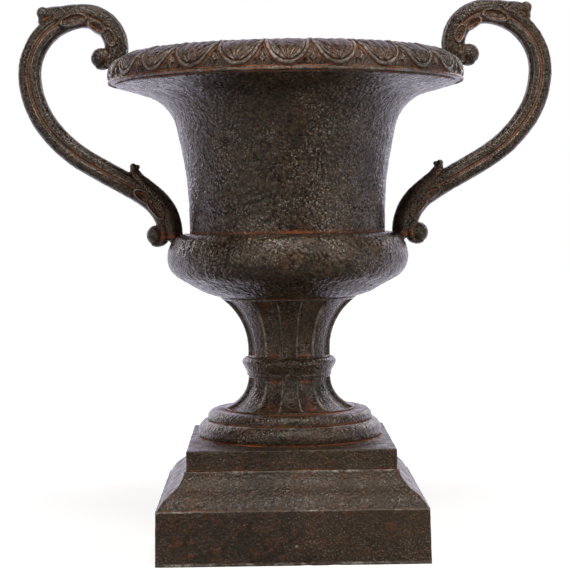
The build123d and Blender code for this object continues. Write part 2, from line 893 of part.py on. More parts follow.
with BuildPart() as tie_bridge:
    with BuildSketch(Plane.XY.offset(bridge_bottom)):
        SlotOverall(bridge_length, bridge_width)
        Circle(rod_radius + fit_clearance, mode=Mode.SUBTRACT)
    extrude(amount=bridge_thickness)
tie_bridge.part.label = "tie_bridge"
export_step(tie_bridge.part, "parts/tie_bridge.step")


with BuildPart() as tie_lower_washer:
    ring(Plane.XY.offset(lower_nut_top), rod_washer_radius, rod_radius + fit_clearance, rod_washer_thickness)
tie_lower_washer.part.label = "tie_lower_washer"
export_step(tie_lower_washer.part, "parts/tie_lower_washer.step")

with BuildPart() as tie_lower_nut:
    hexagon_bar(Plane.XY.offset(lower_nut_top - rod_nut_height), rod_nut_flats, rod_nut_height)
    round_bar(Plane.XY.offset(lower_nut_top - rod_nut_height), rod_radius + thread_clearance,
              rod_nut_height, mode=Mode.SUBTRACT)
tie_lower_nut.part.label = "tie_lower_nut"
export_step(tie_lower_nut.part, "parts/tie_lower_nut.step")

with BuildPart() as tie_upper_washer:
    ring(Plane.XY.offset(bowl_floor), rod_washer_radius, rod_radius + fit_clearance, rod_washer_thickness)
tie_upper_washer.part.label = "tie_upper_washer"
export_step(tie_upper_washer.part, "parts/tie_upper_washer.step")

with BuildPart() as tie_upper_nut:
    hexagon_bar(Plane.XY.offset(upper_nut_bottom), rod_nut_flats, rod_nut_height)
    round_bar(Plane.XY.offset(upper_nut_bottom), rod_radius + thread_clearance,
              rod_nut_height, mode=Mode.SUBTRACT)
tie_upper_nut.part.label = "tie_upper_nut"
export_step(tie_upper_nut.part, "parts/tie_upper_nut.step")


# Bolts that hold the bell down on the bowl's flange
def bell_bolt_spots():
    return PolarLocations(bell_bolt_circle, bell_bolt_count, start_angle=180 / bell_bolt_count)


bolt_head_bottom = bowl_top + bell_wall + washer_thickness
bolt_nut_top = bowl_top - bowl_wall - washer_thickness
bolt_bottom = bolt_nut_top - bolt_nut_height - bolt_end

with BuildPart() as bell_bolts:
    with BuildSketch(Plane.XY.offset(bolt_bottom)):
        with bell_bolt_spots():
            Circle(bolt_radius)
    extrude(amount=bolt_head_bottom - bolt_bottom)
    with BuildSketch(Plane.XY.offset(bolt_head_bottom)):
        with bell_bolt_spots():
            RegularPolygon(radius=bolt_flats / 2, side_count=6, major_radius=False)
    extrude(amount=bolt_head_height)
bell_bolts.part.label = "bell_bolts"
export_step(bell_bolts.part, "parts/bell_bolts.step")

with BuildPart() as bell_bolt_washers:
    for level in (bowl_top + bell_wall, bolt_nut_top):
        with BuildSketch(Plane.XY.offset(level)):
            with bell_bolt_spots():
                Circle(washer_radius)
                Circle(bolt_radius + fit_clearance, mode=Mode.SUBTRACT)
        extrude(amount=washer_thickness)
bell_bolt_washers.part.label = "bell_bolt_washers"
export_step(bell_bolt_washers.part, "parts/bell_bolt_washers.step")

with BuildPart() as bell_bolt_nuts:
    with BuildSketch(Plane.XY.offset(bolt_nut_top - bolt_nut_height)):
        with bell_bolt_spots():
            RegularPolygon(radius=bolt_flats / 2, side_count=6, major_radius=False)
            Circle(bolt_radius + thread_clearance, mode=Mode.SUBTRACT)
    extrude(amount=bolt_nut_height)
bell_bolt_nuts.part.label = "bell_bolt_nuts"
export_step(bell_bolt_nuts.part, "parts/bell_bolt_nuts.step")

# Countersunk screws that hold the rim down on the bell
with BuildPart() as rim_screws:
    screw_tip = rim_seat - rim_screw_depth + cut_overrun
    with BuildSketch(Plane.XY.offset(screw_tip)):
        with rim_screw_spots():
            Circle(rim_screw_radius)
    extrude(amount=rim_top - screw_tip)
    with Locations(Plane.XY.offset(rim_top)):
        with rim_screw_spots():
            Cone(
                rim_screw_radius,
                rim_screw_head_radius,
                rim_screw_head_radius - rim_screw_radius,
                align=(Align.CENTER, Align.CENTER, Align.MAX),
            )
            Box(
                2 * rim_screw_head_radius,
                rim_screw_radius / 3,
                rim_screw_radius / 2,
                align=(Align.CENTER, Align.CENTER, Align.MAX),
                mode=Mode.SUBTRACT,
            )
rim_screws.part.label = "rim_screws"
export_step(rim_screws.part, "parts/rim_screws.step")

# Screws into the ends of the handles, with their washers
with BuildPart() as handle_top_washers:
    for side in (-1, 1):
        ring(top_screw_plane(side, -washer_thickness), washer_radius, bolt_radius + fit_clearance, washer_thickness)
handle_top_washers.part.label = "handle_top_washers"
export_step(handle_top_washers.part, "parts/handle_top_washers.step")

with BuildPart() as handle_top_screws:
    for side in (-1, 1):
        round_bar(top_screw_plane(side, -washer_thickness), bolt_radius,
                  washer_thickness + rim_wall + rim_wall / 2 + handle_screw_depth)
        hexagon_bar(top_screw_plane(side, -washer_thickness - bolt_head_height), bolt_flats, bolt_head_height)
handle_top_screws.part.label = "handle_top_screws"
export_step(handle_top_screws.part, "parts/handle_top_screws.step")

foot_seat = spot_face_bite - bowl_wall
with BuildPart() as handle_foot_washers:
    for side in (-1, 1):
        ring(foot_screw_plane(side, foot_seat - washer_thickness), washer_radius,
             bolt_radius + fit_clearance, washer_thickness)
handle_foot_washers.part.label = "handle_foot_washers"
export_step(handle_foot_washers.part, "parts/handle_foot_washers.step")

with BuildPart() as handle_foot_screws:
    for side in (-1, 1):
        round_bar(foot_screw_plane(side, foot_seat - washer_thickness), bolt_radius,
                  washer_thickness - foot_seat + handle_screw_depth)
        hexagon_bar(foot_screw_plane(side, foot_seat - washer_thickness - bolt_head_height),
                    bolt_flats, bolt_head_height)
handle_foot_screws.part.label = "handle_foot_screws"
export_step(handle_foot_screws.part, "parts/handle_foot_screws.step")
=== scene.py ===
import math

import bmesh
import bpy
import numpy as np
from mathutils import Matrix, Vector


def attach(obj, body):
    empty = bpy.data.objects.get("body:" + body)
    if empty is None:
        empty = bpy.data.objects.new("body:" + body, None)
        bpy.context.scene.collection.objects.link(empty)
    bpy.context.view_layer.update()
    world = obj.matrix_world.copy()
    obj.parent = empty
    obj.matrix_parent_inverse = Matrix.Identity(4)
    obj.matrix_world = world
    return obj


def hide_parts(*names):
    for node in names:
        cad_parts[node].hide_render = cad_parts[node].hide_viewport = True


# A cast-iron campana urn, dressed over its packed castings. Sizes are in millimetres and are
# turned into metres where a mesh is made. The outlines of the castings are pairs of radius, or
# half width, and height above the ground.

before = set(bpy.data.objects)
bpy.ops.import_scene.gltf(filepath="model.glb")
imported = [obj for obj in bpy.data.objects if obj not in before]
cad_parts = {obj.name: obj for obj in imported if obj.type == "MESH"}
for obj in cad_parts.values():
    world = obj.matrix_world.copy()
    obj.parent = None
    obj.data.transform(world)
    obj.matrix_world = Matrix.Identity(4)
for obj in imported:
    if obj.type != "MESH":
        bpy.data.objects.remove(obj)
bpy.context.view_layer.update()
MM = 0.001

# Levels of the joints, from the ground up
BLOCK_TOP = 48.4
PLINTH_TOP = 79.3
STEP_EDGE = 97.4
STEP_TOP = 99.6
LOWER_RING_TOP = 114.8
UPPER_RING_TOP = 124.5
LOWER_STEM_TOP = 156.2
KNOP_TOP = 173.0
UPPER_STEM_TOP = 230.0
BOWL_TOP = 288.7
RIM_BOTTOM = 427.3
RIM_SEAT = 431.0
RIM_TOP = 455.5

# Radii and half widths at the joints
BORE = 20.0
BLOCK_HALF = 120.0
MOULDING_FOOT = 118.8
MOULDING_HEAD = 95.5
STEP_HALF = 93.6
LOWER_RING_RADIUS = 84.3
UPPER_RING_RADIUS = 76.4
STEM_FOOT = 61.0
STEM_RADIUS = 38.3
KNOP_SEAT = 39.5
STEM_HEAD = 63.3
BELL_RADIUS = 91.0
SHOULDER_START = 97.0
LIP_RADIUS = 158.0
RIM_RADIUS = 165.6
RIM_INSIDE = 131.0
RIM_CROWN = 144.0
RIM_FACE_FOOT = 435.9

# Lines that two castings share
RIM_FACE = [(158.26, 449.13), (RIM_CROWN, RIM_TOP)]
SHOULDER = [(107.42, 283.0), (112.3, 268.0)]


# Lines

def arc(start, heading, end, step):
    """Points from start to end on the arc that leaves along heading, and the heading on arrival"""
    start, end = np.array(start, float), np.array(end, float)
    along = np.array(heading, float) / np.hypot(*heading)
    across = np.array((-along[1], along[0]))
    chord = end - start
    sweep = 2 * math.atan2(chord @ across, chord @ along)
    if abs(sweep) < 1e-6:
        count = max(2, int(math.ceil(np.hypot(*chord) / step)))
        return [start + chord * k / count for k in range(1, count + 1)], along
    radius = (chord @ chord) / (2 * (chord @ across))
    centre = start + across * radius
    count = max(2, int(math.ceil(abs(radius * sweep) / step)))
    points = [centre + rotated(start - centre, sweep * k / count) for k in range(1, count + 1)]
    return points, rotated(along, sweep)


def rotated(spoke, turn):
    return np.array((spoke[0] * math.cos(turn) - spoke[1] * math.sin(turn),
                     spoke[0] * math.sin(turn) + spoke[1] * math.cos(turn)))


def flowing(start, heading, ends, step):
    """One smooth line of arcs through the points"""
    line = [np.array(start, float)]
    for end in ends:
        run, heading = arc(line[-1], heading, end, step)
        line += run
    return line


def straight(points, step):
    line = [np.array(points[0], float)]
    for end in points[1:]:
        begin = line[-1]
        gap = np.array(end, float) - begin
        count = max(1, int(math.ceil(np.hypot(*gap) / step)))
        line += [begin + gap * k / count for k in range(1, count + 1)]
    return line


def inset(line, wall):
    """The line moved sideways by the wall, for the inner face of a casting"""
    line = np.array(line)
    run = np.gradient(line, axis=0)
    run /= np.linalg.norm(run, axis=1)[:, None]
    return list(line + np.stack((-run[:, 1], run[:, 0]), 1) * wall)


def closed(outline):
    """A closed outline without its repeated end, run anticlockwise"""
    outline = np.array(outline, float)
    if np.allclose(outline[0], outline[-1]):
        outline = outline[:-1]
    reach, height = outline.T
    if np.sum(reach * np.roll(height, -1) - np.roll(reach, -1) * height) < 0:
        outline = outline[::-1]
    return outline


# Meshes

def mesh_piece(name, points, faces):
    data = bpy.data.meshes.new(name)
    data.vertices.add(len(points))
    data.vertices.foreach_set("co", (np.asarray(points) * MM).astype(np.float32).ravel())
    faces = np.asarray(faces, dtype=np.int32)
    starts = np.arange(0, faces.size, faces.shape[1], dtype=np.int32)
    data.loops.add(faces.size)
    data.loops.foreach_set("vertex_index", faces.ravel())
    data.polygons.add(len(faces))
    data.polygons.foreach_set("loop_start", starts)
    data.update(calc_edges=True)
    data.validate()
    return linked(name, data)


def linked(name, data):
    piece = bpy.data.objects.new(name, data)
    bpy.context.collection.objects.link(piece)
    return piece


def points_of(piece):
    """The places of a piece's points"""
    places = np.empty(len(piece.data.vertices) * 3, np.float32)
    piece.data.vertices.foreach_get("co", places)
    return places.reshape(-1, 3) / MM


def move_points(piece, points):
    piece.data.vertices.foreach_set("co", (points * MM).astype(np.float32).ravel())


def grid_faces(rows, columns):
    """Quads of a grid that closes on itself both ways"""
    row = np.arange(rows)[:, None] * columns
    column = np.arange(columns)[None, :]
    next_row = (np.arange(rows)[:, None] + 1) % rows * columns
    next_column = (np.arange(columns)[None, :] + 1) % columns
    corners = (row + column, row + next_column, next_row + next_column, next_row + column)
    return np.stack(corners, -1).reshape(-1, 4)


def turned(name, outline, columns, carve=None):
    """A closed outline turned about the axis. carve gives how far each point sinks"""
    outline = closed(outline)
    run = np.roll(outline, -1, axis=0) - np.roll(outline, 1, axis=0)
    run /= np.linalg.norm(run, axis=1)[:, None] + 1e-9
    outward = np.stack((run[:, 1], -run[:, 0]), 1)
    angle = np.arange(columns) * 2 * math.pi / columns
    radius = np.repeat(outline[:, :1], columns, 1)
    height = np.repeat(outline[:, 1:], columns, 1)
    if carve:
        depth = carve(angle[None, :], radius, height)
        radius = radius - depth * outward[:, :1]
        height = height - depth * outward[:, 1:]
    points = np.stack((radius * np.cos(angle), radius * np.sin(angle), height), -1)
    return mesh_piece(name, points.reshape(-1, 3), grid_faces(len(outline), columns))


def square_run(name, outline, corner, step):
    """A closed outline run round a square with rounded corners"""
    outline = closed(outline)
    count = int(2 * (outline[:, 0].max() - corner) / step)
    corner_points = 5
    rings = []
    for half, height in outline:
        round_by = min(corner, half * 0.8)
        flat = half - round_by
        side = np.stack((np.full(count, half), np.linspace(-flat, flat, count)), 1)
        turn = np.linspace(0, math.pi / 2, corner_points + 2)[1:-1]
        elbow = np.stack((flat + round_by * np.cos(turn), flat + round_by * np.sin(turn)), 1)
        quarter = np.concatenate((side, elbow))
        ring = np.concatenate([
            quarter @ np.array(((math.cos(q), math.sin(q)), (-math.sin(q), math.cos(q))))
            for q in (0, math.pi / 2, math.pi, 3 * math.pi / 2)])
        rings.append(np.concatenate((ring, np.full((len(ring), 1), height)), 1))
    return mesh_piece(name, np.concatenate(rings), grid_faces(len(rings), len(rings[0])))


def apply_modifiers(piece):
    bpy.context.view_layer.update()
    graph = bpy.context.evaluated_depsgraph_get()
    finished = bpy.data.meshes.new_from_object(piece.evaluated_get(graph), depsgraph=graph)
    piece.modifiers.clear()
    old = piece.data
    piece.data = finished
    bpy.data.meshes.remove(old)


# The skin of a sand mould, and where it rusts or wears

def grain_texture(name, kind, size, **settings):
    texture = bpy.data.textures.new(name, kind)
    texture.noise_scale = size * MM
    for key, value in settings.items():
        setattr(texture, key, value)
    return texture


SAND_SWELL = grain_texture("sand_swell", "CLOUDS", 14.0, noise_depth=1)
SAND_GRAIN = grain_texture("sand_grain", "CLOUDS", 1.9, noise_depth=2)
SAND_PITS = grain_texture("sand_pits", "VORONOI", 5.0)
MIDDLE_LEVELS = {SAND_SWELL.name: 0.5, SAND_GRAIN.name: 0.5, SAND_PITS.name: 0.25}


def sand_cast(piece, swell, grain, pits):
    """The uneven skin that a sand mould leaves, as moves of the mesh itself"""
    for texture, depth in ((SAND_SWELL, swell), (SAND_GRAIN, grain), (SAND_PITS, pits)):
        move = piece.modifiers.new(texture.name, "DISPLACE")
        move.texture = texture
        move.texture_coords = "LOCAL"
        move.strength = depth * MM
        move.mid_level = MIDDLE_LEVELS[texture.name]
    apply_modifiers(piece)


SEAM_HOLLOW = 0.80      # how deep a seam counts where its rust is thickest


def relative_depth(piece, points, rounds):
    """How far each point lies under the smoothed surface around it"""
    data = piece.data
    count = len(points)
    edges = np.empty(len(data.edges) * 2, np.int32)
    data.edges.foreach_get("vertices", edges)
    edges = edges.reshape(-1, 2)
    normals = np.empty(count * 3, np.float32)
    data.vertex_normals.foreach_get("vector", normals)
    ends = np.concatenate((edges[:, 0], edges[:, 1]))
    others = np.concatenate((edges[:, 1], edges[:, 0]))
    neighbours = np.maximum(np.bincount(ends, minlength=count), 1)
    smooth = points.copy()
    for _ in range(rounds):
        sums = [np.bincount(ends, smooth[others, k], minlength=count) for k in range(3)]
        smooth = 0.5 * smooth + 0.5 * np.stack(sums, 1) / neighbours[:, None]
    return np.einsum("ij,ij->i", smooth - points, normals.reshape(-1, 3))


def mark_hollows(piece, rounds, seams, marks):
    """Stores how hollow each point is, and more along the seams, given as round or square, half
    their width, their height and how far their rust spreads. marks gives what else is sunk, or
    worn where it is below zero; the bright lines of the handles given so are partly painted
    highlight"""
    points = points_of(piece).astype(float)
    hollow = relative_depth(piece, points, rounds)
    x, y, z = (points * MM).T
    patchy = 0.70 + 0.15 * (np.sin(61.0 * x + 90.0 * z) + np.sin(83.0 * y - 37.0 * x + 1.0))
    for kind, reach, height, spread in seams:
        out = np.hypot(x, y) if kind == "round" else np.maximum(np.abs(x), np.abs(y))
        away = np.hypot(out / MM - reach, points[:, 2] - height)
        near = np.exp(-(away / spread) ** 2)
        rusted = hollow + (SEAM_HOLLOW * patchy - np.minimum(hollow, 0)) * near
        hollow = np.maximum(hollow * (1 - near), rusted)
    if marks:
        hollow += marks(points)
    stored = piece.data.attributes.new("hollow", "FLOAT", "POINT")
    stored.data.foreach_set("value", hollow.astype(np.float32))


def dress(piece, node, material, rounds=8, seams=(), marks=None):
    """Gives a finished mesh its wear and its material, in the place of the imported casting"""
    smooth = np.ones(len(piece.data.polygons), dtype=bool)
    piece.data.polygons.foreach_set("use_smooth", smooth)
    mark_hollows(piece, rounds, seams, marks)
    piece.data.materials.clear()
    piece.data.materials.append(material)
    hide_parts(node)
    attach(piece, "root")


# Shader nodes

def new_group(name, inputs, outputs):
    group = bpy.data.node_groups.new(name, "ShaderNodeTree")
    for label, default in inputs:
        kind = "NodeSocketVector" if default is None else "NodeSocketFloat"
        socket = group.interface.new_socket(label, in_out="INPUT", socket_type=kind)
        if default is not None:
            socket.default_value = default
    for label in outputs:
        group.interface.new_socket(label, in_out="OUTPUT", socket_type="NodeSocketFloat")
    given = group.nodes.new("NodeGroupInput").outputs
    return group, given, group.nodes.new("NodeGroupOutput").inputs


def placed_group(tree, group, **links):
    """A group in a material, with its inputs linked or set"""
    node = add(tree, "ShaderNodeGroup")
    node.node_tree = group
    for label, value in links.items():
        feed(tree, value, node.inputs[label.replace("_", " ").title()])
    return node.outputs


def add(tree, kind, **settings):
    node = tree.nodes.new(kind)
    for key, value in settings.items():
        setattr(node, key, value)
    return node


def feed(tree, value, socket):
    """Sets a socket to a number or a colour, or links another node's output to it"""
    if isinstance(value, (int, float)):
        socket.default_value = value
    elif isinstance(value, tuple):
        socket.default_value = value + (1.0,)
    else:
        tree.links.new(value, socket)


def maths(tree, operation, first, second=0.0, clamp=False):
    node = add(tree, "ShaderNodeMath", operation=operation, use_clamp=clamp)
    feed(tree, first, node.inputs[0])
    feed(tree, second, node.inputs[1])
    return node.outputs[0]


def product(tree, first, *others):
    for other in others:
        first = maths(tree, "MULTIPLY", first, other)
    return first


def ramp(tree, value, low, high, out_low=0.0, out_high=1.0):
    """A soft step from one value to another while the input goes from low to high"""
    node = add(tree, "ShaderNodeMapRange", interpolation_type="SMOOTHSTEP", clamp=True)
    feed(tree, value, node.inputs["Value"])
    feed(tree, low, node.inputs["From Min"])
    feed(tree, high, node.inputs["From Max"])
    feed(tree, out_low, node.inputs["To Min"])
    feed(tree, out_high, node.inputs["To Max"])
    return node.outputs[0]


def noise(tree, place, scale, detail, roughness=0.55):
    """Noise of so many grains a metre"""
    node = add(tree, "ShaderNodeTexNoise")
    feed(tree, place, node.inputs["Vector"])
    feed(tree, scale, node.inputs["Scale"])
    node.inputs["Detail"].default_value = detail
    node.inputs["Roughness"].default_value = roughness
    return node.outputs["Fac"]


def blend_colours(tree, factor, first, second):
    node = add(tree, "ShaderNodeMix", data_type="RGBA", blend_type="MIX")
    feed(tree, factor, node.inputs[0])
    feed(tree, first, node.inputs[6])
    feed(tree, second, node.inputs[7])
    return node.outputs[2]


def scaled(colour, share):
    return tuple(share * channel for channel in colour)


def bumped(tree, shader, height, distance):
    relief = add(tree, "ShaderNodeBump")
    relief.inputs["Strength"].default_value = 1.0
    relief.inputs["Distance"].default_value = distance
    feed(tree, height, relief.inputs["Height"])
    feed(tree, relief.outputs[0], shader.inputs["Normal"])


# Finishes

def make_pebble_grain():
    """Height of the pebbled skin: rounded grains, fine sand and small pits, and a share for the
    painted highlight on the tops of the grain
    """
    group, given, out = new_group(
        "pebble grain", (("Place", None), ("Grain", 330.0), ("Pits", 0.5)), ("Height", "Crest Highlight"))
    place, grain = given["Place"], given["Grain"]
    cells = add(group, "ShaderNodeTexVoronoi", feature="SMOOTH_F1")
    feed(group, place, cells.inputs["Vector"])
    feed(group, grain, cells.inputs["Scale"])
    cells.inputs["Smoothness"].default_value = 0.6
    cells.inputs["Randomness"].default_value = 1.0
    pebble = ramp(group, cells.outputs["Distance"], 0.75, 0.05)
    coarse = noise(group, place, product(group, grain, 0.55), 3.0)
    fine = noise(group, place, product(group, grain, 3.2), 3.0, 0.6)
    holes = add(group, "ShaderNodeTexVoronoi")
    feed(group, place, holes.inputs["Vector"])
    feed(group, product(group, grain, 0.42), holes.inputs["Scale"])
    where_pitted = ramp(group, noise(group, place, 60.0, 2.0), 0.48, 0.62)
    pit = product(group, ramp(group, holes.outputs["Distance"], 0.30, 0.08), given["Pits"],
                  where_pitted)
    height = maths(group, "ADD", product(group, pebble, 0.50), product(group, coarse, 0.75))
    height = maths(group, "ADD", height, product(group, fine, 0.24))
    height = maths(group, "SUBTRACT", height, product(group, pit, 0.8))
    feed(group, height, out["Height"])
    feed(group, ramp(group, height, 0.50, 0.95), out["Crest Highlight"])
    return group


def make_weathering():
    """Where rust sits, where the black skin has worn through, and where its cast changes"""
    group, given, out = new_group(
        "weathering",
        (("Place", None), ("Hollow", 0.0), ("Rust From", 0.10), ("Rust Full", 0.45),
         ("Blotches", 0.2), ("Wear From", 0.10), ("Wear Full", 0.5), ("Wear Least", 0.10)),
        ("Rust", "Wear", "Cast"))
    place = given["Place"]
    ragged = noise(group, place, 210.0, 5.0, 0.65)
    patches = noise(group, place, 26.0, 4.0, 0.6)
    unevenness = product(group, maths(group, "SUBTRACT", ragged, 0.5), 0.35)
    hollow = maths(group, "ADD", given["Hollow"], unevenness)
    in_hollow = product(group, ramp(group, hollow, given["Rust From"], given["Rust Full"]),
                        ramp(group, patches, 0.36, 0.56, 0.22, 1.0))
    spots = product(group, ramp(group, ragged, 0.56, 0.70), ramp(group, patches, 0.50, 0.66),
                    given["Blotches"])
    proud = product(group, hollow, -1.0)
    wear = product(group, ramp(group, proud, given["Wear From"], given["Wear Full"]),
                   ramp(group, ragged, 0.40, 0.62, 0.25, 1.0),
                   ramp(group, patches, 0.44, 0.60, given["Wear Least"], 1.0))
    feed(group, maths(group, "MAXIMUM", in_hollow, spots), out["Rust"])
    feed(group, wear, out["Wear"])
    feed(group, ramp(group, noise(group, place, 11.0, 3.0), 0.35, 0.65), out["Cast"])
    return group


PEBBLE_GRAIN = make_pebble_grain()
WEATHERING = make_weathering()

BLACK_SKIN = (0.018, 0.013, 0.009)
OLIVE_CAST = (0.048, 0.032, 0.018)
RUBBED_CAST = (0.068, 0.047, 0.028)
RUST = (0.34, 0.105, 0.030)
WORN_METAL_AND_GLINT = (0.40, 0.37, 0.34)


def weathered_iron(name, cast, grain, bump, rough, painted_glint, mottle_and_relief_shading, blotches, rust, wear):
    """Black iron under old paint. grain is pebbles a metre, bump their height in metres; rust and
    wear give the hollow or proud height where each starts and where it is full. The share for
    light specks sets painted highlights; the share for mottling sets random dark clouds together
    with the painted highlight and painted shade of the grain"""
    material = bpy.data.materials.new(name)
    material.use_nodes = True
    tree = material.node_tree
    tree.nodes.clear()
    surface = add(tree, "ShaderNodeOutputMaterial")
    shader = add(tree, "ShaderNodeBsdfPrincipled")
    feed(tree, shader.outputs[0], surface.inputs["Surface"])
    place = add(tree, "ShaderNodeTexCoord").outputs["Object"]
    hollow = add(tree, "ShaderNodeAttribute", attribute_name="hollow").outputs["Fac"]
    skin = placed_group(tree, PEBBLE_GRAIN, place=place, grain=grain, pits=0.5)
    weather = placed_group(tree, WEATHERING, place=place, hollow=hollow, blotches=blotches,
                           rust_from=rust[0], rust_full=rust[1], wear_from=wear[0],
                           wear_full=wear[1], wear_least=wear[2])

    # The skin: two casts of black, a painted highlight on the tops of the grain, painted shade in
    # its low places, and darker clouds
    colour = blend_colours(tree, weather["Cast"], BLACK_SKIN, cast)
    # Painted highlight: the tops of the grain are coloured lighter
    painted_crest_light = product(tree, skin["Crest Highlight"], 0.55 * mottle_and_relief_shading)
    colour = blend_colours(tree, painted_crest_light, colour, scaled(cast, 2.6))
    # Painted shade: the low places of the grain are darkened towards black
    painted_pit_shade = product(tree, ramp(tree, skin["Height"], 0.62, 0.40), 0.85 * mottle_and_relief_shading)
    colour = blend_colours(tree, painted_pit_shade, colour, scaled(BLACK_SKIN, 0.12))
    clouds = ramp(tree, noise(tree, place, 46.0, 4.0, 0.6), 0.40, 0.62, 0.0, 0.55)
    colour = blend_colours(tree, product(tree, clouds, mottle_and_relief_shading), colour, scaled(BLACK_SKIN, 0.35))

    # Rust: thin stains, small flecks, and the thick rust of the hollows
    stain = ramp(tree, noise(tree, place, 120.0, 6.0, 0.72), 0.50, 0.72)
    colour = blend_colours(tree, product(tree, stain, blotches), colour, scaled(RUST, 0.42))
    flecks = product(tree, ramp(tree, noise(tree, place, 560.0, 3.0, 0.6), 0.58, 0.70), 0.55,
                     ramp(tree, noise(tree, place, 34.0, 3.0), 0.40, 0.62, 0.15, 1.0))
    colour = blend_colours(tree, flecks, colour, scaled(RUST, 0.80))
    rust_tone = blend_colours(tree, noise(tree, place, 330.0, 3.0), scaled(RUST, 0.45), RUST)
    colour = blend_colours(tree, weather["Rust"], colour, rust_tone)

    # Painted highlights: fine light specks in the colour of bare metal, in some places; then worn
    # edges
    painted_glints = product(tree, ramp(tree, noise(tree, place, 640.0, 2.0), 0.58, 0.67),
                     ramp(tree, noise(tree, place, 21.0, 2.0), 0.44, 0.60, 0.12, 1.0), painted_glint)
    colour = blend_colours(tree, painted_glints, colour, WORN_METAL_AND_GLINT)
    colour = blend_colours(tree, product(tree, weather["Wear"], 0.88), colour, WORN_METAL_AND_GLINT)
    feed(tree, colour, shader.inputs["Base Color"])

    sheen = ramp(tree, noise(tree, place, 90.0, 4.0), 0.35, 0.65, rough[0], rough[1])
    dulled = product(tree, weather["Rust"], 0.30)
    feed(tree, maths(tree, "ADD", sheen, dulled, clamp=True), shader.inputs["Roughness"])
    shader.inputs["Metallic"].default_value = 0.0
    shader.inputs["Specular IOR Level"].default_value = 0.5
    bumped(tree, shader, skin["Height"], bump)
    return material


BODY_IRON = weathered_iron(
    "body_iron", OLIVE_CAST, grain=340.0, bump=0.0010, rough=(0.18, 0.36), painted_glint=0.85,
    mottle_and_relief_shading=1.0, blotches=0.25, rust=(0.10, 0.45), wear=(0.18, 0.60, 0.10))
STEM_IRON = weathered_iron(
    "stem_iron", RUBBED_CAST, grain=460.0, bump=0.0008, rough=(0.18, 0.36), painted_glint=0.80,
    mottle_and_relief_shading=0.60, blotches=0.35, rust=(0.10, 0.45), wear=(0.14, 0.50, 0.20))
CARVED_IRON = weathered_iron(
    "carved_iron", OLIVE_CAST, grain=520.0, bump=0.0006, rough=(0.22, 0.40), painted_glint=0.40,
    mottle_and_relief_shading=1.0, blotches=0.35, rust=(0.06, 0.30), wear=(0.09, 0.36, 0.55))
REEDED_IRON = weathered_iron(
    "reeded_iron", OLIVE_CAST, grain=520.0, bump=0.0007, rough=(0.22, 0.42), painted_glint=0.35,
    mottle_and_relief_shading=1.0, blotches=0.40, rust=(0.06, 0.36), wear=(0.11, 0.36, 0.40))
PLINTH_IRON = weathered_iron(
    "plinth_iron", OLIVE_CAST, grain=430.0, bump=0.0009, rough=(0.28, 0.52), painted_glint=0.35,
    mottle_and_relief_shading=0.30, blotches=0.60, rust=(0.10, 0.45), wear=(0.16, 0.60, 0.25))


def make_fastener_steel():
    """Dull steel with spots of brown rust"""
    material = bpy.data.materials.new("fastener_steel")
    material.use_nodes = True
    tree = material.node_tree
    shader = tree.nodes["Principled BSDF"]
    place = add(tree, "ShaderNodeTexCoord").outputs["Object"]
    spots = ramp(tree, noise(tree, place, 240.0, 4.0), 0.45, 0.65)
    colour = blend_colours(tree, spots, (0.30, 0.27, 0.24), (0.20, 0.08, 0.035))
    feed(tree, colour, shader.inputs["Base Color"])
    feed(tree, ramp(tree, spots, 0.0, 1.0, 0.38, 0.8), shader.inputs["Roughness"])
    feed(tree, ramp(tree, spots, 0.0, 1.0, 0.85, 0.1), shader.inputs["Metallic"])
    bumped(tree, shader, noise(tree, place, 900.0, 3.0), 0.0002)
    return material


# Plinth and step block

NIBS_AND_CHIPS = [(3.0, 75.5, 2.6, 1.0), (1.5, 49.5, 3.2, 1.2), (3.0, 17.0, 2.4, 0.9),
                  (12.0, 0.0, 5.0, -1.6), (36.0, 0.0, 6.5, -1.4), (-84.0, 48.0, 5.0, -1.0)]
STEP_SLOPE_END = 92.0       # where the sloping top of the step block ends, from the axis


def mark_front(piece, spots):
    """Marks of the mould on the front: place across, height, radius and how far each is proud"""
    points = points_of(piece)
    x, y, z = points.T
    front = (-y > 0.97 * np.abs(x)) & (y < -90.0)
    for across, height, radius, proud in spots:
        away = np.hypot(x - across, z - height) / radius
        points[:, 1] -= np.where(front, proud * np.clip(1 - away * away, 0, 1), 0)
    move_points(piece, points)


def build_plinth():
    outline = straight([(121.0, 0.0), (BLOCK_HALF, BLOCK_TOP), (MOULDING_FOOT, BLOCK_TOP)], 1.5)
    moulding = flowing((MOULDING_HEAD, 77.5), (0.30, -1.0),
                       [(106.2, 62.95), (MOULDING_FOOT, BLOCK_TOP)], 1.2)
    outline += moulding[::-1][1:]
    outline += straight([(MOULDING_HEAD, 77.5), (MOULDING_HEAD, PLINTH_TOP)], 1.0)[1:]
    outline += straight([(MOULDING_HEAD, PLINTH_TOP), (40.0, PLINTH_TOP), (36.0, PLINTH_TOP),
                         (36.0, 72.3), (88.5, 72.3), (113.0, 41.4), (113.0, 0.0),
                         (121.0, 0.0)], 12.0)[1:]
    piece = square_run("plinth_casting", outline, 2.0, 1.6)
    mark_front(piece, NIBS_AND_CHIPS)
    sand_cast(piece, 0.6, 0.22, 0.2)
    dress(piece, "plinth", PLINTH_IRON, seams=[("square", STEP_HALF, PLINTH_TOP, 1.7)])


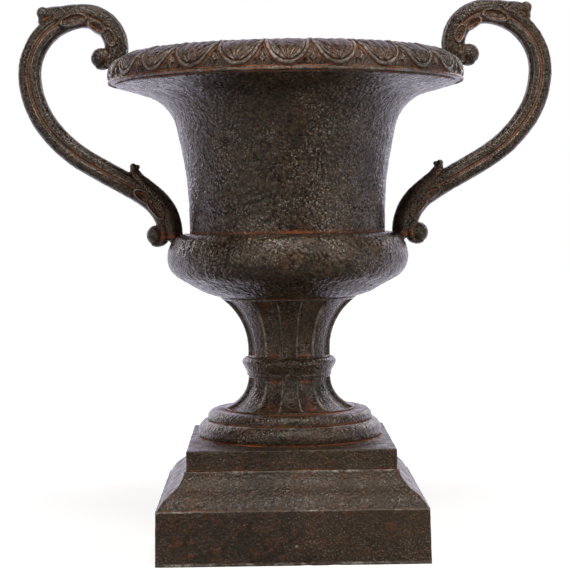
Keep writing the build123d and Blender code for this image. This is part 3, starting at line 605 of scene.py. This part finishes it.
def build_step_block():
    outline = straight([(STEP_HALF, PLINTH_TOP), (STEP_HALF, STEP_EDGE - 0.8),
                        (93.0, STEP_EDGE - 0.2), (91.8, STEP_EDGE)], 1.2)
    outline += straight([(91.8, STEP_EDGE), (56.0, STEP_EDGE)], 1.2)[1:]
    outline += straight([(56.0, STEP_EDGE), (BORE, STEP_EDGE), (BORE, 88.4), (84.6, 88.4),
                         (84.6, PLINTH_TOP), (STEP_HALF, PLINTH_TOP)], 8.0)[1:]
    piece = square_run("step_casting", outline, 1.6, 1.5)
    points = points_of(piece)
    reach = np.hypot(points[:, 0], points[:, 1])
    on_top = points[:, 2] > STEP_EDGE - 0.05
    rise = np.clip((STEP_SLOPE_END - reach) / (STEP_SLOPE_END - LOWER_RING_RADIUS), 0, 1)
    points[:, 2] += np.where(on_top, rise * (STEP_TOP - STEP_EDGE), 0)
    move_points(piece, points)
    sand_cast(piece, 0.5, 0.22, 0.2)
    dress(piece, "step_block", PLINTH_IRON, rounds=2,
          seams=[("round", LOWER_RING_RADIUS, STEP_TOP, 1.9),
                 ("square", STEP_HALF, PLINTH_TOP, 1.4)])


# Foot rings, stem and knop

FLUTES = 8
FLUTE_DEPTH = 3.0


def ringed(outer, low, high):
    """Closes an outer line with its top, bore and underside"""
    return list(outer) + straight([outer[-1], (BORE, high), (BORE, low), outer[0]], 8.0)[1:]


def build_foot_rings():
    line = flowing((LOWER_RING_RADIUS, STEP_TOP), (0.5, 1), [(79.2, LOWER_RING_TOP)], 0.9)
    piece = turned("foot_ring_lower_casting", ringed(line, STEP_TOP, LOWER_RING_TOP), 480)
    sand_cast(piece, 0.6, 0.25, 0.2)
    dress(piece, "foot_ring_lower", STEM_IRON,
          seams=[("round", LOWER_RING_RADIUS, STEP_TOP, 1.9),
                 ("round", UPPER_RING_RADIUS, LOWER_RING_TOP, 2.4)])
    line = flowing((UPPER_RING_RADIUS, LOWER_RING_TOP), (0.4, 1), [(69.1, UPPER_RING_TOP)], 0.8)
    piece = turned("foot_ring_upper_casting", ringed(line, LOWER_RING_TOP, UPPER_RING_TOP), 440)
    sand_cast(piece, 0.5, 0.25, 0.2)
    dress(piece, "foot_ring_upper", STEM_IRON,
          seams=[("round", UPPER_RING_RADIUS, LOWER_RING_TOP, 2.4),
                 ("round", STEM_FOOT, UPPER_RING_TOP, 2.0)])


def across_flute(angle, radius):
    """How far a point lies from the middle of its flute, and half the flute's width there"""
    place = (angle / (2 * math.pi / FLUTES)) % 1.0
    return np.abs(place - 0.5) * 2 * math.pi / FLUTES * radius, math.pi / (2 * FLUTES) * radius


def flute_carve(low, high):
    """Flat-bottomed channels with soft sides, stopping short of the ends"""
    def carve(angle, radius, height):
        from_middle, half = across_flute(angle, radius)
        side = np.clip((half - from_middle) / 1.1 + 0.5, 0, 1)
        ends = np.clip(np.minimum(height - low, high - height) / 1.6 + 0.5, 0, 1)
        outer = (radius > 30.0) & (height > low - 3) & (height < high + 3)
        dish = 1.0 + 0.18 * np.cos(np.clip(from_middle / half, 0, 1) * math.pi)
        depth = FLUTE_DEPTH * smooth_step(side, 0, 1) * smooth_step(ends, 0, 1) * dish
        return np.where(outer, depth, 0)
    return carve


def flute_rust(low, high):
    """Rust lies in the channels, most at their ends, and their edges are worn bright"""
    def hollow(points):
        reach = np.hypot(points[:, 0], points[:, 1])
        level = points[:, 2]
        from_middle, half = across_flute(np.arctan2(points[:, 1], points[:, 0]), reach)
        floor = np.clip((half - 1.4 - from_middle) / 1.5, 0, 1)
        near_end = np.exp(-np.minimum(level - low, high - level) / 7.0)
        lip = np.exp(-((from_middle - half - 0.6) / 0.6) ** 2)
        foot = np.exp(-((from_middle - half + 0.7) / 0.7) ** 2)
        inside = (reach > 34.0) & (level > low) & (level < high)
        worn = 0.42 * lip + 0.30 * foot
        return np.where(inside, floor * (0.06 + 0.16 * near_end) - worn, 0)
    return hollow


def smooth_step(value, low, high):
    share = np.clip((value - low) / (high - low), 0, 1)
    return share * share * (3 - 2 * share)


def build_lower_stem():
    low, high = UPPER_RING_TOP + 2.2, LOWER_STEM_TOP - 2.4
    foot = (STEM_FOOT, UPPER_RING_TOP + 1.5)
    line = straight([(STEM_FOOT, UPPER_RING_TOP), foot], 0.8)
    line += flowing((STEM_RADIUS, LOWER_STEM_TOP - 1.0), (0, -1), [foot], 0.9)[::-1][1:]
    line += [(STEM_RADIUS, LOWER_STEM_TOP)]
    piece = turned("lower_stem_casting", ringed(line, UPPER_RING_TOP, LOWER_STEM_TOP), 420,
                   flute_carve(low, high))
    sand_cast(piece, 0.5, 0.22, 0.2)
    dress(piece, "lower_stem", STEM_IRON, marks=flute_rust(low, high),
          seams=[("round", STEM_FOOT, UPPER_RING_TOP, 1.7),
                 ("round", 38.8, LOWER_STEM_TOP, 1.7)])


def build_knop():
    neck = (KNOP_SEAT, LOWER_STEM_TOP + 2.9)
    line = straight([(KNOP_SEAT, LOWER_STEM_TOP), neck], 0.8)
    line += flowing(neck, (0.55, 1), [(43.3, 166.0), (KNOP_SEAT, KNOP_TOP)], 0.8)[1:]
    piece = turned("knop_casting", ringed(line, LOWER_STEM_TOP, KNOP_TOP), 300)
    sand_cast(piece, 0.5, 0.22, 0.2)
    dress(piece, "knop", STEM_IRON, seams=[("round", 39.0, LOWER_STEM_TOP, 1.7),
                                           ("round", 39.0, KNOP_TOP, 1.5)])


def build_upper_stem():
    low, high = KNOP_TOP + 2.0, UPPER_STEM_TOP - 3.6
    waist = (STEM_RADIUS, 180.0)
    line = straight([(STEM_RADIUS, KNOP_TOP), waist], 0.9)
    line += flowing(waist, (0, 1), [(STEM_HEAD, UPPER_STEM_TOP - 1.4)], 0.9)[1:]
    line += [(STEM_HEAD, UPPER_STEM_TOP)]
    piece = turned("upper_stem_casting", ringed(line, KNOP_TOP, UPPER_STEM_TOP), 440,
                   flute_carve(low, high))
    sand_cast(piece, 0.5, 0.22, 0.2)
    dress(piece, "upper_stem", STEM_IRON, marks=flute_rust(low, high),
          seams=[("round", 38.8, KNOP_TOP, 1.5), ("round", STEM_HEAD, UPPER_STEM_TOP, 1.7)])


# Bowl and bell

def build_bowl():
    shoulder = flowing((SHOULDER_START, BOWL_TOP), (1, 0),
                       SHOULDER + [(100.8, 247.0), (81.6, 236.3), (STEM_HEAD, UPPER_STEM_TOP)],
                       1.0)
    inner = inset(shoulder, -7.0)[3:-3:5]
    line = straight([(BELL_RADIUS, BOWL_TOP), (SHOULDER_START, BOWL_TOP)], 1.0) + shoulder[1:]
    line += straight([(STEM_HEAD, 230.0), (6.3, 230.0), (6.3, 237.0), (60.0, 237.0)], 6.0)[1:]
    line += inner[::-1]
    line += straight([inner[0], (70.0, BOWL_TOP - 7.0), (70.0, BOWL_TOP),
                      (BELL_RADIUS, BOWL_TOP)], 4.0)[1:]
    piece = turned("bowl_casting", line, 640)
    sand_cast(piece, 0.9, 0.6, 0.6)
    dress(piece, "bowl", BODY_IRON, seams=[("round", 63.5, UPPER_STEM_TOP, 1.7),
                                           ("round", BELL_RADIUS, BOWL_TOP, 1.3)])


def foot_stain(points):
    """Rust that water has drawn up the foot of the bell, more on some sides than on others"""
    reach = np.hypot(points[:, 0], points[:, 1])
    around = np.arctan2(points[:, 1], points[:, 0])
    uneven = 0.6 + 0.4 * np.sin(3 * around + 5.6)
    stain = 0.28 * uneven * np.exp(-((points[:, 2] - BOWL_TOP) / 5.5) ** 2)
    return np.where(reach > 88.0, stain, 0)


def build_bell():
    cove_end = (130.0, 418.3)
    outer = flowing((BELL_RADIUS, BOWL_TOP), (0, 1),
                    [(91.2, 310.05), (97.79, 367.96), (101.49, 386.03), cove_end], 1.0)
    inner = inset(outer, 6.0)[::4]
    line = outer + straight([cove_end, (LIP_RADIUS, 426.2), (LIP_RADIUS, RIM_SEAT)], 1.0)[1:]
    line += straight([(LIP_RADIUS, RIM_SEAT), (RIM_INSIDE, RIM_SEAT)], 5.0)[1:]
    line += [point for point in inner[::-1] if point[1] > BOWL_TOP + 7.5]
    line += straight([(85.0, BOWL_TOP + 6.0), (70.0, BOWL_TOP + 6.0), (70.0, BOWL_TOP),
                      (BELL_RADIUS, BOWL_TOP)], 4.0)
    piece = turned("bell_casting", line, 760)
    sand_cast(piece, 0.9, 0.6, 0.6)
    dress(piece, "bell", BODY_IRON, marks=foot_stain,
          seams=[("round", BELL_RADIUS, BOWL_TOP, 2.2),
                 ("round", LIP_RADIUS, RIM_BOTTOM, 1.7)])


# Rim with its band of eggs and darts

EGGS = 24
PITCH = 2 * math.pi / EGGS
RELIEF = 2.4                # from the ground of the band to its full height
EGG_HALF_WIDTH = 19.4
EGG_DROP = 24.0
RAY_FOCUS = 434.5           # height from which the rays of an egg spread
DART_HEIGHT = 438.0
BEAD_HEIGHT = 429.0


def egg_band(angle, radius, height):
    """Relief of the ornament and of the bead under it, above the ground of the band"""
    across = ((angle + math.pi / 2) / PITCH + 0.5) % 1.0 - 0.5
    along = across * PITCH * radius
    egg = np.hypot(along / EGG_HALF_WIDTH, (height - RIM_TOP) / EGG_DROP)
    inward = (1 - egg) * 20.0
    roll = np.sqrt(np.clip(1 - ((inward - 1.7) / 1.7) ** 2, 0, 1)) * 2.6
    ray = np.arctan2(along, height - RAY_FOCUS)
    spread = np.hypot(along, height - RAY_FOCUS)
    reed = np.sqrt(np.abs(np.cos(ray / math.radians(24.0) * math.pi)))
    reeds = 0.9 + 1.3 * reed * smooth_step(spread, 0.5, 5.0)
    reeds = reeds * smooth_step(inward, 3.3, 4.4)
    eggs = np.where(inward > 0, np.maximum(roll, reeds), 0)

    from_dart = np.abs((np.abs(across) - 0.5) * PITCH * radius)
    lozenge = from_dart / 4.6 + np.abs(height - DART_HEIGHT) / 7.4
    darts = np.minimum(np.clip(1 - lozenge, 0, 1) * 3.6, 2.2)
    above_bead = smooth_step(height, 430.0, 431.5)
    crown = smooth_step(height, 453.4, 454.6) * smooth_step(radius, 152.0, 140.0) * 2.2
    relief = np.maximum(np.maximum(eggs, darts) * above_bead, crown)
    bead = np.sqrt(np.clip(1 - ((height - BEAD_HEIGHT) / 1.8) ** 2, 0, 1)) * 1.9
    return relief, bead


def rim_carve(angle, radius, height):
    relief, bead = egg_band(angle, radius, height)
    underside = (radius < 159.0) & (height < 440.0)
    outer = (radius > 139.0) & (height > 427.0) & ~underside
    return np.where(outer, RELIEF - np.maximum(relief, bead), 0)


def build_rim():
    face_foot = (RIM_RADIUS, RIM_FACE_FOOT)
    line = straight([(RIM_RADIUS, RIM_BOTTOM), face_foot], 0.42)
    line += flowing(face_foot, (0, 1), RIM_FACE, 0.42)[1:]
    line += straight([(RIM_CROWN, RIM_TOP), (141.0, RIM_TOP)], 1.0)[1:]
    line += straight([(141.0, RIM_TOP), (133.0, RIM_TOP), (131.6, 455.0), (RIM_INSIDE, 453.5),
                      (RIM_INSIDE, RIM_SEAT), (158.3, RIM_SEAT), (158.3, RIM_BOTTOM),
                      (RIM_RADIUS, RIM_BOTTOM)], 5.0)[1:]
    piece = turned("rim_casting", line, EGGS * 84, rim_carve)
    sand_cast(piece, 0.5, 0.35, 0.3)
    dress(piece, "rim", CARVED_IRON, rounds=14)


# Handles: a reeded bar with leaf sheaths, balls and curled tips, grown together as one casting

HALF_WIDTH = 10.6
HALF_DEPTH = 8.5
VOXEL = 0.68
SEAT_GAP = 0.3
BAR_RUN = np.array(flowing(
    (159.6, 444.7), (-0.15, 1),
    [(157.6, 457.7), (191.7, 491.8), (217.5, 480.6), (238.0, 436.6), (222.5, 391.0),
     (185.3, 356.7), (153.7, 338.7), (130.6, 324.6), (114.0, 305.0), (109.5, 283.0)], 0.8))
BAR_STATIONS = np.concatenate(
    ((0.0,), np.cumsum(np.linalg.norm(np.diff(BAR_RUN, axis=0), axis=1))))
LENGTH = BAR_STATIONS[-1]
BAR_FORWARD = np.gradient(BAR_RUN, axis=0)
BAR_FORWARD /= np.linalg.norm(BAR_FORWARD, axis=1)[:, None]

# Reeds: middle and half width across the bar, and how far each stands out
REEDS = [(5.9, 4.8, 2.1), (-4.3, 3.5, 2.3), (-9.1, 1.3, 1.3)]
MIDDLE_GROOVE = 0.15
# Places across the bar of bright lines, partly worn metal and partly painted highlight
WEAR_AND_HIGHLIGHT_LINES = (2.2, -1.8, -6.6)

# Leaf sheaths: station, place across, half width and half depth, in shares of the bar's, then
# the place and the size of the tip
UPPER_LEAF = ([(0.0, 0.10, 0.86, 0.96), (0.05, 0.18, 0.88, 1.02), (0.12, 0.30, 0.78, 1.08),
               (0.19, 0.42, 0.66, 1.06), (0.226, 0.66, 0.66, 0.94), (0.246, 1.00, 0.66, 0.78)],
              (0.268, 1.50), 5.0)
LOWER_LEAF = ([(1.0, -0.15, 0.92, 0.98), (0.93, -0.28, 0.96, 1.14), (0.87, -0.38, 0.90, 1.12),
               (0.830, -0.75, 0.66, 0.90), (0.808, -1.05, 0.60, 0.66)],
              (0.793, -1.55), 3.5)
# Rounded ends of the tips: station, place across and radius
TIP_BALLS = [(0.264, 1.58, 5.6), (0.268, 1.34, 4.7), (0.275, 1.04, 4.2), (0.796, -1.60, 3.1),
             (0.806, -1.76, 2.2)]
# Lobes: station, place across, half length, half width and height of the edge
LOBES = [(0.080, -0.30, 1.10, 0.50, 7.9), (0.132, -0.66, 1.25, 0.46, 8.0),
         (0.205, -0.22, 1.50, 0.56, 8.2), (0.858, 0.18, 1.15, 0.54, 8.0),
         (0.905, 0.25, 1.45, 0.56, 8.2)]
VOLUTES = [(171.5, 453.5), (122.5, 288.0)]


def on_bar(station, across, side):
    """Places on the bar: a share of its length, across it in half widths, and to its side"""
    station, across, side = np.broadcast_arrays(station, across, side)
    at = np.clip(station, 0, 1) * LENGTH
    x, z = (np.interp(at, BAR_STATIONS, BAR_RUN[:, k]) for k in (0, 1))
    dx, dz = (np.interp(at, BAR_STATIONS, BAR_FORWARD[:, k]) for k in (0, 1))
    reach = across * HALF_WIDTH
    return np.stack((x - dz * reach, side, z + dx * reach), -1)


def skinned(rings):
    """The closed skin over a row of rings, as points and faces"""
    rings = np.asarray(rings)
    rows, columns = rings.shape[:2]
    faces = []
    for row in range(rows - 1):
        here, above = row * columns, (row + 1) * columns
        for column in range(columns):
            beside = (column + 1) % columns
            faces.append((here + column, here + beside, above + beside, above + column))
    faces.append(tuple(range(columns))[::-1])
    faces.append(tuple(range((rows - 1) * columns, rows * columns)))
    return rings.reshape(-1, 3), faces


def reeded_bar():
    across = np.cos(np.linspace(0, math.pi, 44))
    depth = 6.4 * np.sqrt(np.clip(1 - across ** 4, 0, 1))
    for middle, half, rise in REEDS:
        from_middle = (across * HALF_WIDTH - middle) / half
        depth = depth + rise * np.sqrt(np.clip(1 - from_middle ** 2, 0, 1))
    across = np.concatenate((across, across[-2:0:-1]))
    depth = np.concatenate((depth, -depth[-2:0:-1]))
    return skinned([on_bar(station, across, depth) for station in np.linspace(0, 1, 560)])


def leaf_sheath(sections, tip, tip_size):
    """A leaf wrapped round the bar, with ribs along it, whose end lifts off into a tip"""
    end = (tip[0], tip[1], tip_size / HALF_WIDTH, tip_size / HALF_DEPTH)
    columns = np.array(sections + [end]).T
    along = np.linspace(0, 1, len(sections) + 1)
    turn = np.linspace(0, 2 * math.pi, 64, endpoint=False)
    ribs = 1 + 0.07 * np.abs(np.cos(turn * 3.5)) - 0.04
    rings = []
    for share in np.linspace(0, 1, 46):
        station, across, wide, deep = (np.interp(share, along, column) for column in columns)
        rings.append(on_bar(station, across + wide * ribs * np.cos(turn),
                            deep * HALF_DEPTH * ribs * np.sin(turn)))
    return skinned(rings)


def leaf_lobe(station, across, long, wide, high):
    """A rounded lobe with a rolled edge round a hollow, the same on both faces of the bar"""
    edge_start = 0.82
    turn = np.linspace(0, 2 * math.pi, 56, endpoint=False)
    rolled = edge_start + (1 - edge_start) * np.sin(np.linspace(0.1, math.pi / 2, 12))
    share = np.concatenate((np.linspace(0.02, edge_start, 18), rolled))
    rings = []
    for side in (1, -1):
        for reach in share[::side]:
            past_edge = max(0.0, reach - edge_start) / (1 - edge_start)
            edge = max(math.sqrt(max(0.0, 1 - past_edge ** 2)), 0.02)
            rise = high + 2.2 * math.exp(-((reach - 0.80) / 0.15) ** 2)
            rise -= 2.2 * math.exp(-(reach / 0.50) ** 2)
            vein = smooth_step(reach, 0.15, 0.6) * (1 - smooth_step(reach, 0.7, 0.9))
            vein = 0.5 * np.abs(np.cos(turn * 2.5)) * vein
            rings.append(on_bar(station + reach * long * HALF_WIDTH / LENGTH * np.cos(turn),
                                across + reach * wide * np.sin(turn),
                                side * (rise + vein) * edge))
    return skinned(rings)


def ball(centre, radius):
    around = np.linspace(0, 2 * math.pi, 36, endpoint=False)
    rings = []
    for lift in np.linspace(-0.995, 0.995, 22):
        low = math.sin(lift * math.pi / 2)
        reach = radius * math.sqrt(1 - low * low)
        rings.append(np.stack((centre[0] + reach * np.cos(around),
                               np.full(len(around), radius * low),
                               centre[1] - reach * np.sin(around)), -1))
    return skinned(rings)


def curled_edge(centre, reach, start, end, thick):
    """The reed that runs on round a ball, thinning towards its end"""
    around = np.linspace(0, 2 * math.pi, 20, endpoint=False)
    rings = []
    for share in np.linspace(0, 1, 40):
        turn = math.radians(start + (end - start) * share)
        size = thick * (1 - 0.55 * share)
        out = reach + size * np.cos(around)
        rings.append(np.stack((centre[0] + out * math.cos(turn), 2.2 * size * np.sin(around),
                               centre[1] + out * math.sin(turn)), -1))
    return skinned(rings)


def keep_off_seats(points):
    """Cuts the ends of the casting to the faces that they bear on, just clear of them"""
    face_foot = (RIM_RADIUS, RIM_FACE_FOOT)
    rim_line = np.array([(RIM_RADIUS, RIM_BOTTOM - 1), face_foot] +
                        flowing(face_foot, (0, 1), RIM_FACE, 1.0))
    bowl_line = np.array(flowing((SHOULDER_START, BOWL_TOP), (1, 0), SHOULDER, 1.0))[::-1]
    for line, low, high in ((rim_line, RIM_BOTTOM, RIM_TOP),
                            (bowl_line, SHOULDER[-1][1], BOWL_TOP)):
        reach = np.hypot(points[:, 0], points[:, 1])
        level = points[:, 2]
        edge = np.interp(level, line[:, 1], line[:, 0]) + SEAT_GAP
        under = (level > low) & (level < high + SEAT_GAP) & (reach < edge)
        lift = under & (high + SEAT_GAP - level < edge - reach)
        out = under & ~lift
        points[lift, 2] = high + SEAT_GAP
        points[out, :2] *= (edge[out] / reach[out])[:, None]
    return points


def bar_wear_and_highlights(points):
    """Bright lines beside the grooves of the bar, partly worn metal and partly painted highlight,
    and rust in its middle groove and at its foot"""
    flat = np.stack((np.abs(points[:, 0]), points[:, 2]), 1)
    nearest = np.concatenate([((part[:, None, :] - BAR_RUN[None, :, :]) ** 2).sum(-1).argmin(1)
                              for part in np.array_split(flat, 80)])
    forward = BAR_FORWARD[nearest]
    away = flat - BAR_RUN[nearest]
    across = away[:, 1] * forward[:, 0] - away[:, 0] * forward[:, 1]
    station = BAR_STATIONS[nearest] / LENGTH
    lines = sum(np.exp(-((across - middle) / 0.5) ** 2) for middle in WEAR_AND_HIGHLIGHT_LINES)
    groove = np.exp(-((across - MIDDLE_GROOVE) / 1.0) ** 2)
    bare = smooth_step(station, 0.24, 0.27) * (1 - smooth_step(station, 0.79, 0.83))
    seat = np.exp(-((points[:, 2] - 287.0) / 3.5) ** 2) * (flat[:, 0] < 119.0)
    return (0.06 * groove - 0.34 * lines) * bare + 0.30 * seat


def handle_solids():
    solids = [reeded_bar(), leaf_sheath(*UPPER_LEAF), leaf_sheath(*LOWER_LEAF)]
    for station, across, radius in TIP_BALLS:
        solids.append(ball(on_bar(station, across, 0.0)[[0, 2]], radius))
    solids += [leaf_lobe(*lobe) for lobe in LOBES]
    for centre in VOLUTES:
        solids += [ball(centre, 9.4), curled_edge(centre, 8.4, 172, 300, 4.4)]
    return solids


def grow_together(name, solids, side):
    """One casting from overlapping solids, on the right, side 1, or mirrored to the left, -1"""
    points, faces, base = [], [], 0
    for part_points, part_faces in solids:
        points.append(part_points * (side, 1, 1))
        faces += [tuple(base + corner for corner in face[::side]) for face in part_faces]
        base += len(part_points)
    data = bpy.data.meshes.new(name)
    data.from_pydata((np.concatenate(points) * MM).tolist(), [], faces)
    piece = linked(name, data)
    grown = piece.modifiers.new("grown_together", "REMESH")
    grown.mode = "VOXEL"
    grown.voxel_size = VOXEL * MM
    softened = piece.modifiers.new("softened", "SMOOTH")
    softened.factor = 0.5
    softened.iterations = 3
    apply_modifiers(piece)
    return piece


def build_handles():
    solids = handle_solids()
    for side, node in ((1, "handle_right"), (-1, "handle_left")):
        piece = grow_together(node + "_casting", solids, side)
        move_points(piece, keep_off_seats(points_of(piece)))
        sand_cast(piece, 0.3, 0.4, 0.3)
        dress(piece, node, REEDED_IRON, rounds=14, marks=bar_wear_and_highlights)


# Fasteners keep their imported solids

def dress_fasteners():
    steel = make_fastener_steel()
    kinds = ("tie_", "bell_bolt", "rim_screws", "handle_top_", "handle_foot_")
    for node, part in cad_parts.items():
        if node.startswith(kinds):
            part.data.materials.clear()
            part.data.materials.append(steel)


# Floor, light and camera

PHOTO_WIDTH = 570.0
WHITE = (1.0, 1.0, 1.0)
LAVENDER = (0.96, 0.92, 1.12)
WARM = (1.0, 0.93, 0.85)


def behind_axis(tree, coordinates):
    """How far a place or a direction lies behind the urn, and a little for how far aside"""
    split = add(tree, "ShaderNodeSeparateXYZ")
    place = add(tree, "ShaderNodeTexCoord").outputs[coordinates]
    feed(tree, place, split.inputs[0])
    aside = product(tree, maths(tree, "ABSOLUTE", split.outputs["X"]), 0.15)
    return maths(tree, "ADD", split.outputs["Y"], aside)


def build_floor():
    """Pale floor: white to the camera, with the urn's shadow, and mirrored bright from behind"""
    data = bpy.data.meshes.new("floor")
    shape = bmesh.new()
    bmesh.ops.create_grid(shape, x_segments=1, y_segments=1, size=6.0)
    shape.to_mesh(data)
    shape.free()
    floor = linked("floor", data)
    material = bpy.data.materials.new("pale_floor")
    material.use_nodes = True
    tree = material.node_tree
    shader = tree.nodes["Principled BSDF"]
    shader.inputs["Base Color"].default_value = (0.36, 0.36, 0.36, 1)
    shader.inputs["Roughness"].default_value = 0.9
    shader.inputs["Specular IOR Level"].default_value = 0.1
    paths = add(tree, "ShaderNodeLightPath").outputs
    away = add(tree, "ShaderNodeVectorMath", operation="LENGTH")
    feed(tree, add(tree, "ShaderNodeTexCoord").outputs["Object"], away.inputs[0])
    seen = product(tree, ramp(tree, away.outputs["Value"], 0.20, 0.75, 0.80, 1.0),
                   paths["Is Camera Ray"])
    mirrored = product(tree, ramp(tree, behind_axis(tree, "Object"), 0.05, 0.40, 0.0, 1.35),
                       paths["Is Glossy Ray"])
    tint = blend_colours(tree, paths["Is Glossy Ray"], WHITE, LAVENDER)
    feed(tree, tint, shader.inputs["Emission Color"])
    feed(tree, maths(tree, "MAXIMUM", seen, mirrored), shader.inputs["Emission Strength"])
    data.materials.append(material)


def build_world():
    """A dim room with a bright, slightly blue wall behind the urn, seen only in its gloss"""
    world = bpy.data.worlds.new("studio")
    bpy.context.scene.world = world
    world.use_nodes = True
    tree = world.node_tree
    tree.nodes.clear()
    out = add(tree, "ShaderNodeOutputWorld")
    light = add(tree, "ShaderNodeBackground")
    paths = add(tree, "ShaderNodeLightPath").outputs
    wall = ramp(tree, behind_axis(tree, "Generated"), 0.42, 0.82)
    room = blend_colours(tree, wall, (0.014, 0.010, 0.008), (1.25, 1.18, 1.44))
    soft = blend_colours(tree, paths["Is Glossy Ray"], (0.095, 0.083, 0.074), room)
    colour = blend_colours(tree, paths["Is Camera Ray"], soft, WHITE)
    feed(tree, colour, light.inputs["Color"])
    feed(tree, light.outputs[0], out.inputs["Surface"])


def softbox(name, place, target, size, power, tint):
    light = bpy.data.lights.new(name, "AREA")
    light.shape = "RECTANGLE"
    light.size, light.size_y = size
    light.energy = power
    light.color = tint
    lamp = linked(name, light)
    lamp.location = place
    aim = Vector(target) - Vector(place)
    lamp.rotation_euler = aim.to_track_quat("-Z", "Y").to_euler()


def build_lights():
    high, middle = (0, 0, 0.34), (0, 0, 0.25)
    softbox("left_softbox", (-1.2, -1.45, 0.78), high, (0.15, 1.4), 9.0, WARM)
    softbox("right_softbox", (1.5, -1.1, 0.78), high, (0.15, 1.4), 10.5, WARM)
    softbox("top_softbox", (0.1, -0.9, 1.8), (0, 0, 0.30), (0.5, 0.5), 18.0, (1.0, 0.94, 0.87))
    pale = (1.0, 0.95, 0.90)
    softbox("back_left_softbox", (-1.3, 1.5, 0.9), middle, (0.8, 0.8), 6.0, pale)
    softbox("back_right_softbox", (1.2, 1.6, 0.9), middle, (0.8, 0.8), 6.0, pale)


def build_camera():
    """The camera as fitted to the photograph: focal length in its pixels, metres and radians"""
    focal, distance, azimuth, height = 1668.64, 1.56371, -0.0134, 0.30946
    pitch, pan, roll = -0.0445, 0.0019, 0.0129
    turn = azimuth + pan
    ahead = Vector((-math.sin(turn), math.cos(turn), 0))
    right = Vector((math.cos(turn), math.sin(turn), 0))
    up = Vector((0, 0, 1))
    forward = ahead * math.cos(pitch) + up * math.sin(pitch)
    above = up * math.cos(pitch) - ahead * math.sin(pitch)
    side = right * math.cos(roll) - above * math.sin(roll)
    top = right * math.sin(roll) + above * math.cos(roll)
    camera = bpy.data.cameras.new("camera")
    camera.sensor_width = 36.0
    camera.lens = camera.sensor_width * focal / PHOTO_WIDTH
    eye = linked("camera", camera)
    place = Vector((distance * math.sin(azimuth), -distance * math.cos(azimuth), height))
    facing = Matrix((side, top, -forward)).transposed().to_4x4()
    eye.matrix_world = Matrix.Translation(place) @ facing
    bpy.context.scene.camera = eye


build_plinth()
build_step_block()
build_foot_rings()
build_lower_stem()
build_knop()
build_upper_stem()
build_bowl()
build_bell()
build_rim()
build_handles()
dress_fasteners()
build_floor()
build_world()
build_lights()
build_camera()

bpy.context.scene.view_settings.view_transform = "Standard"
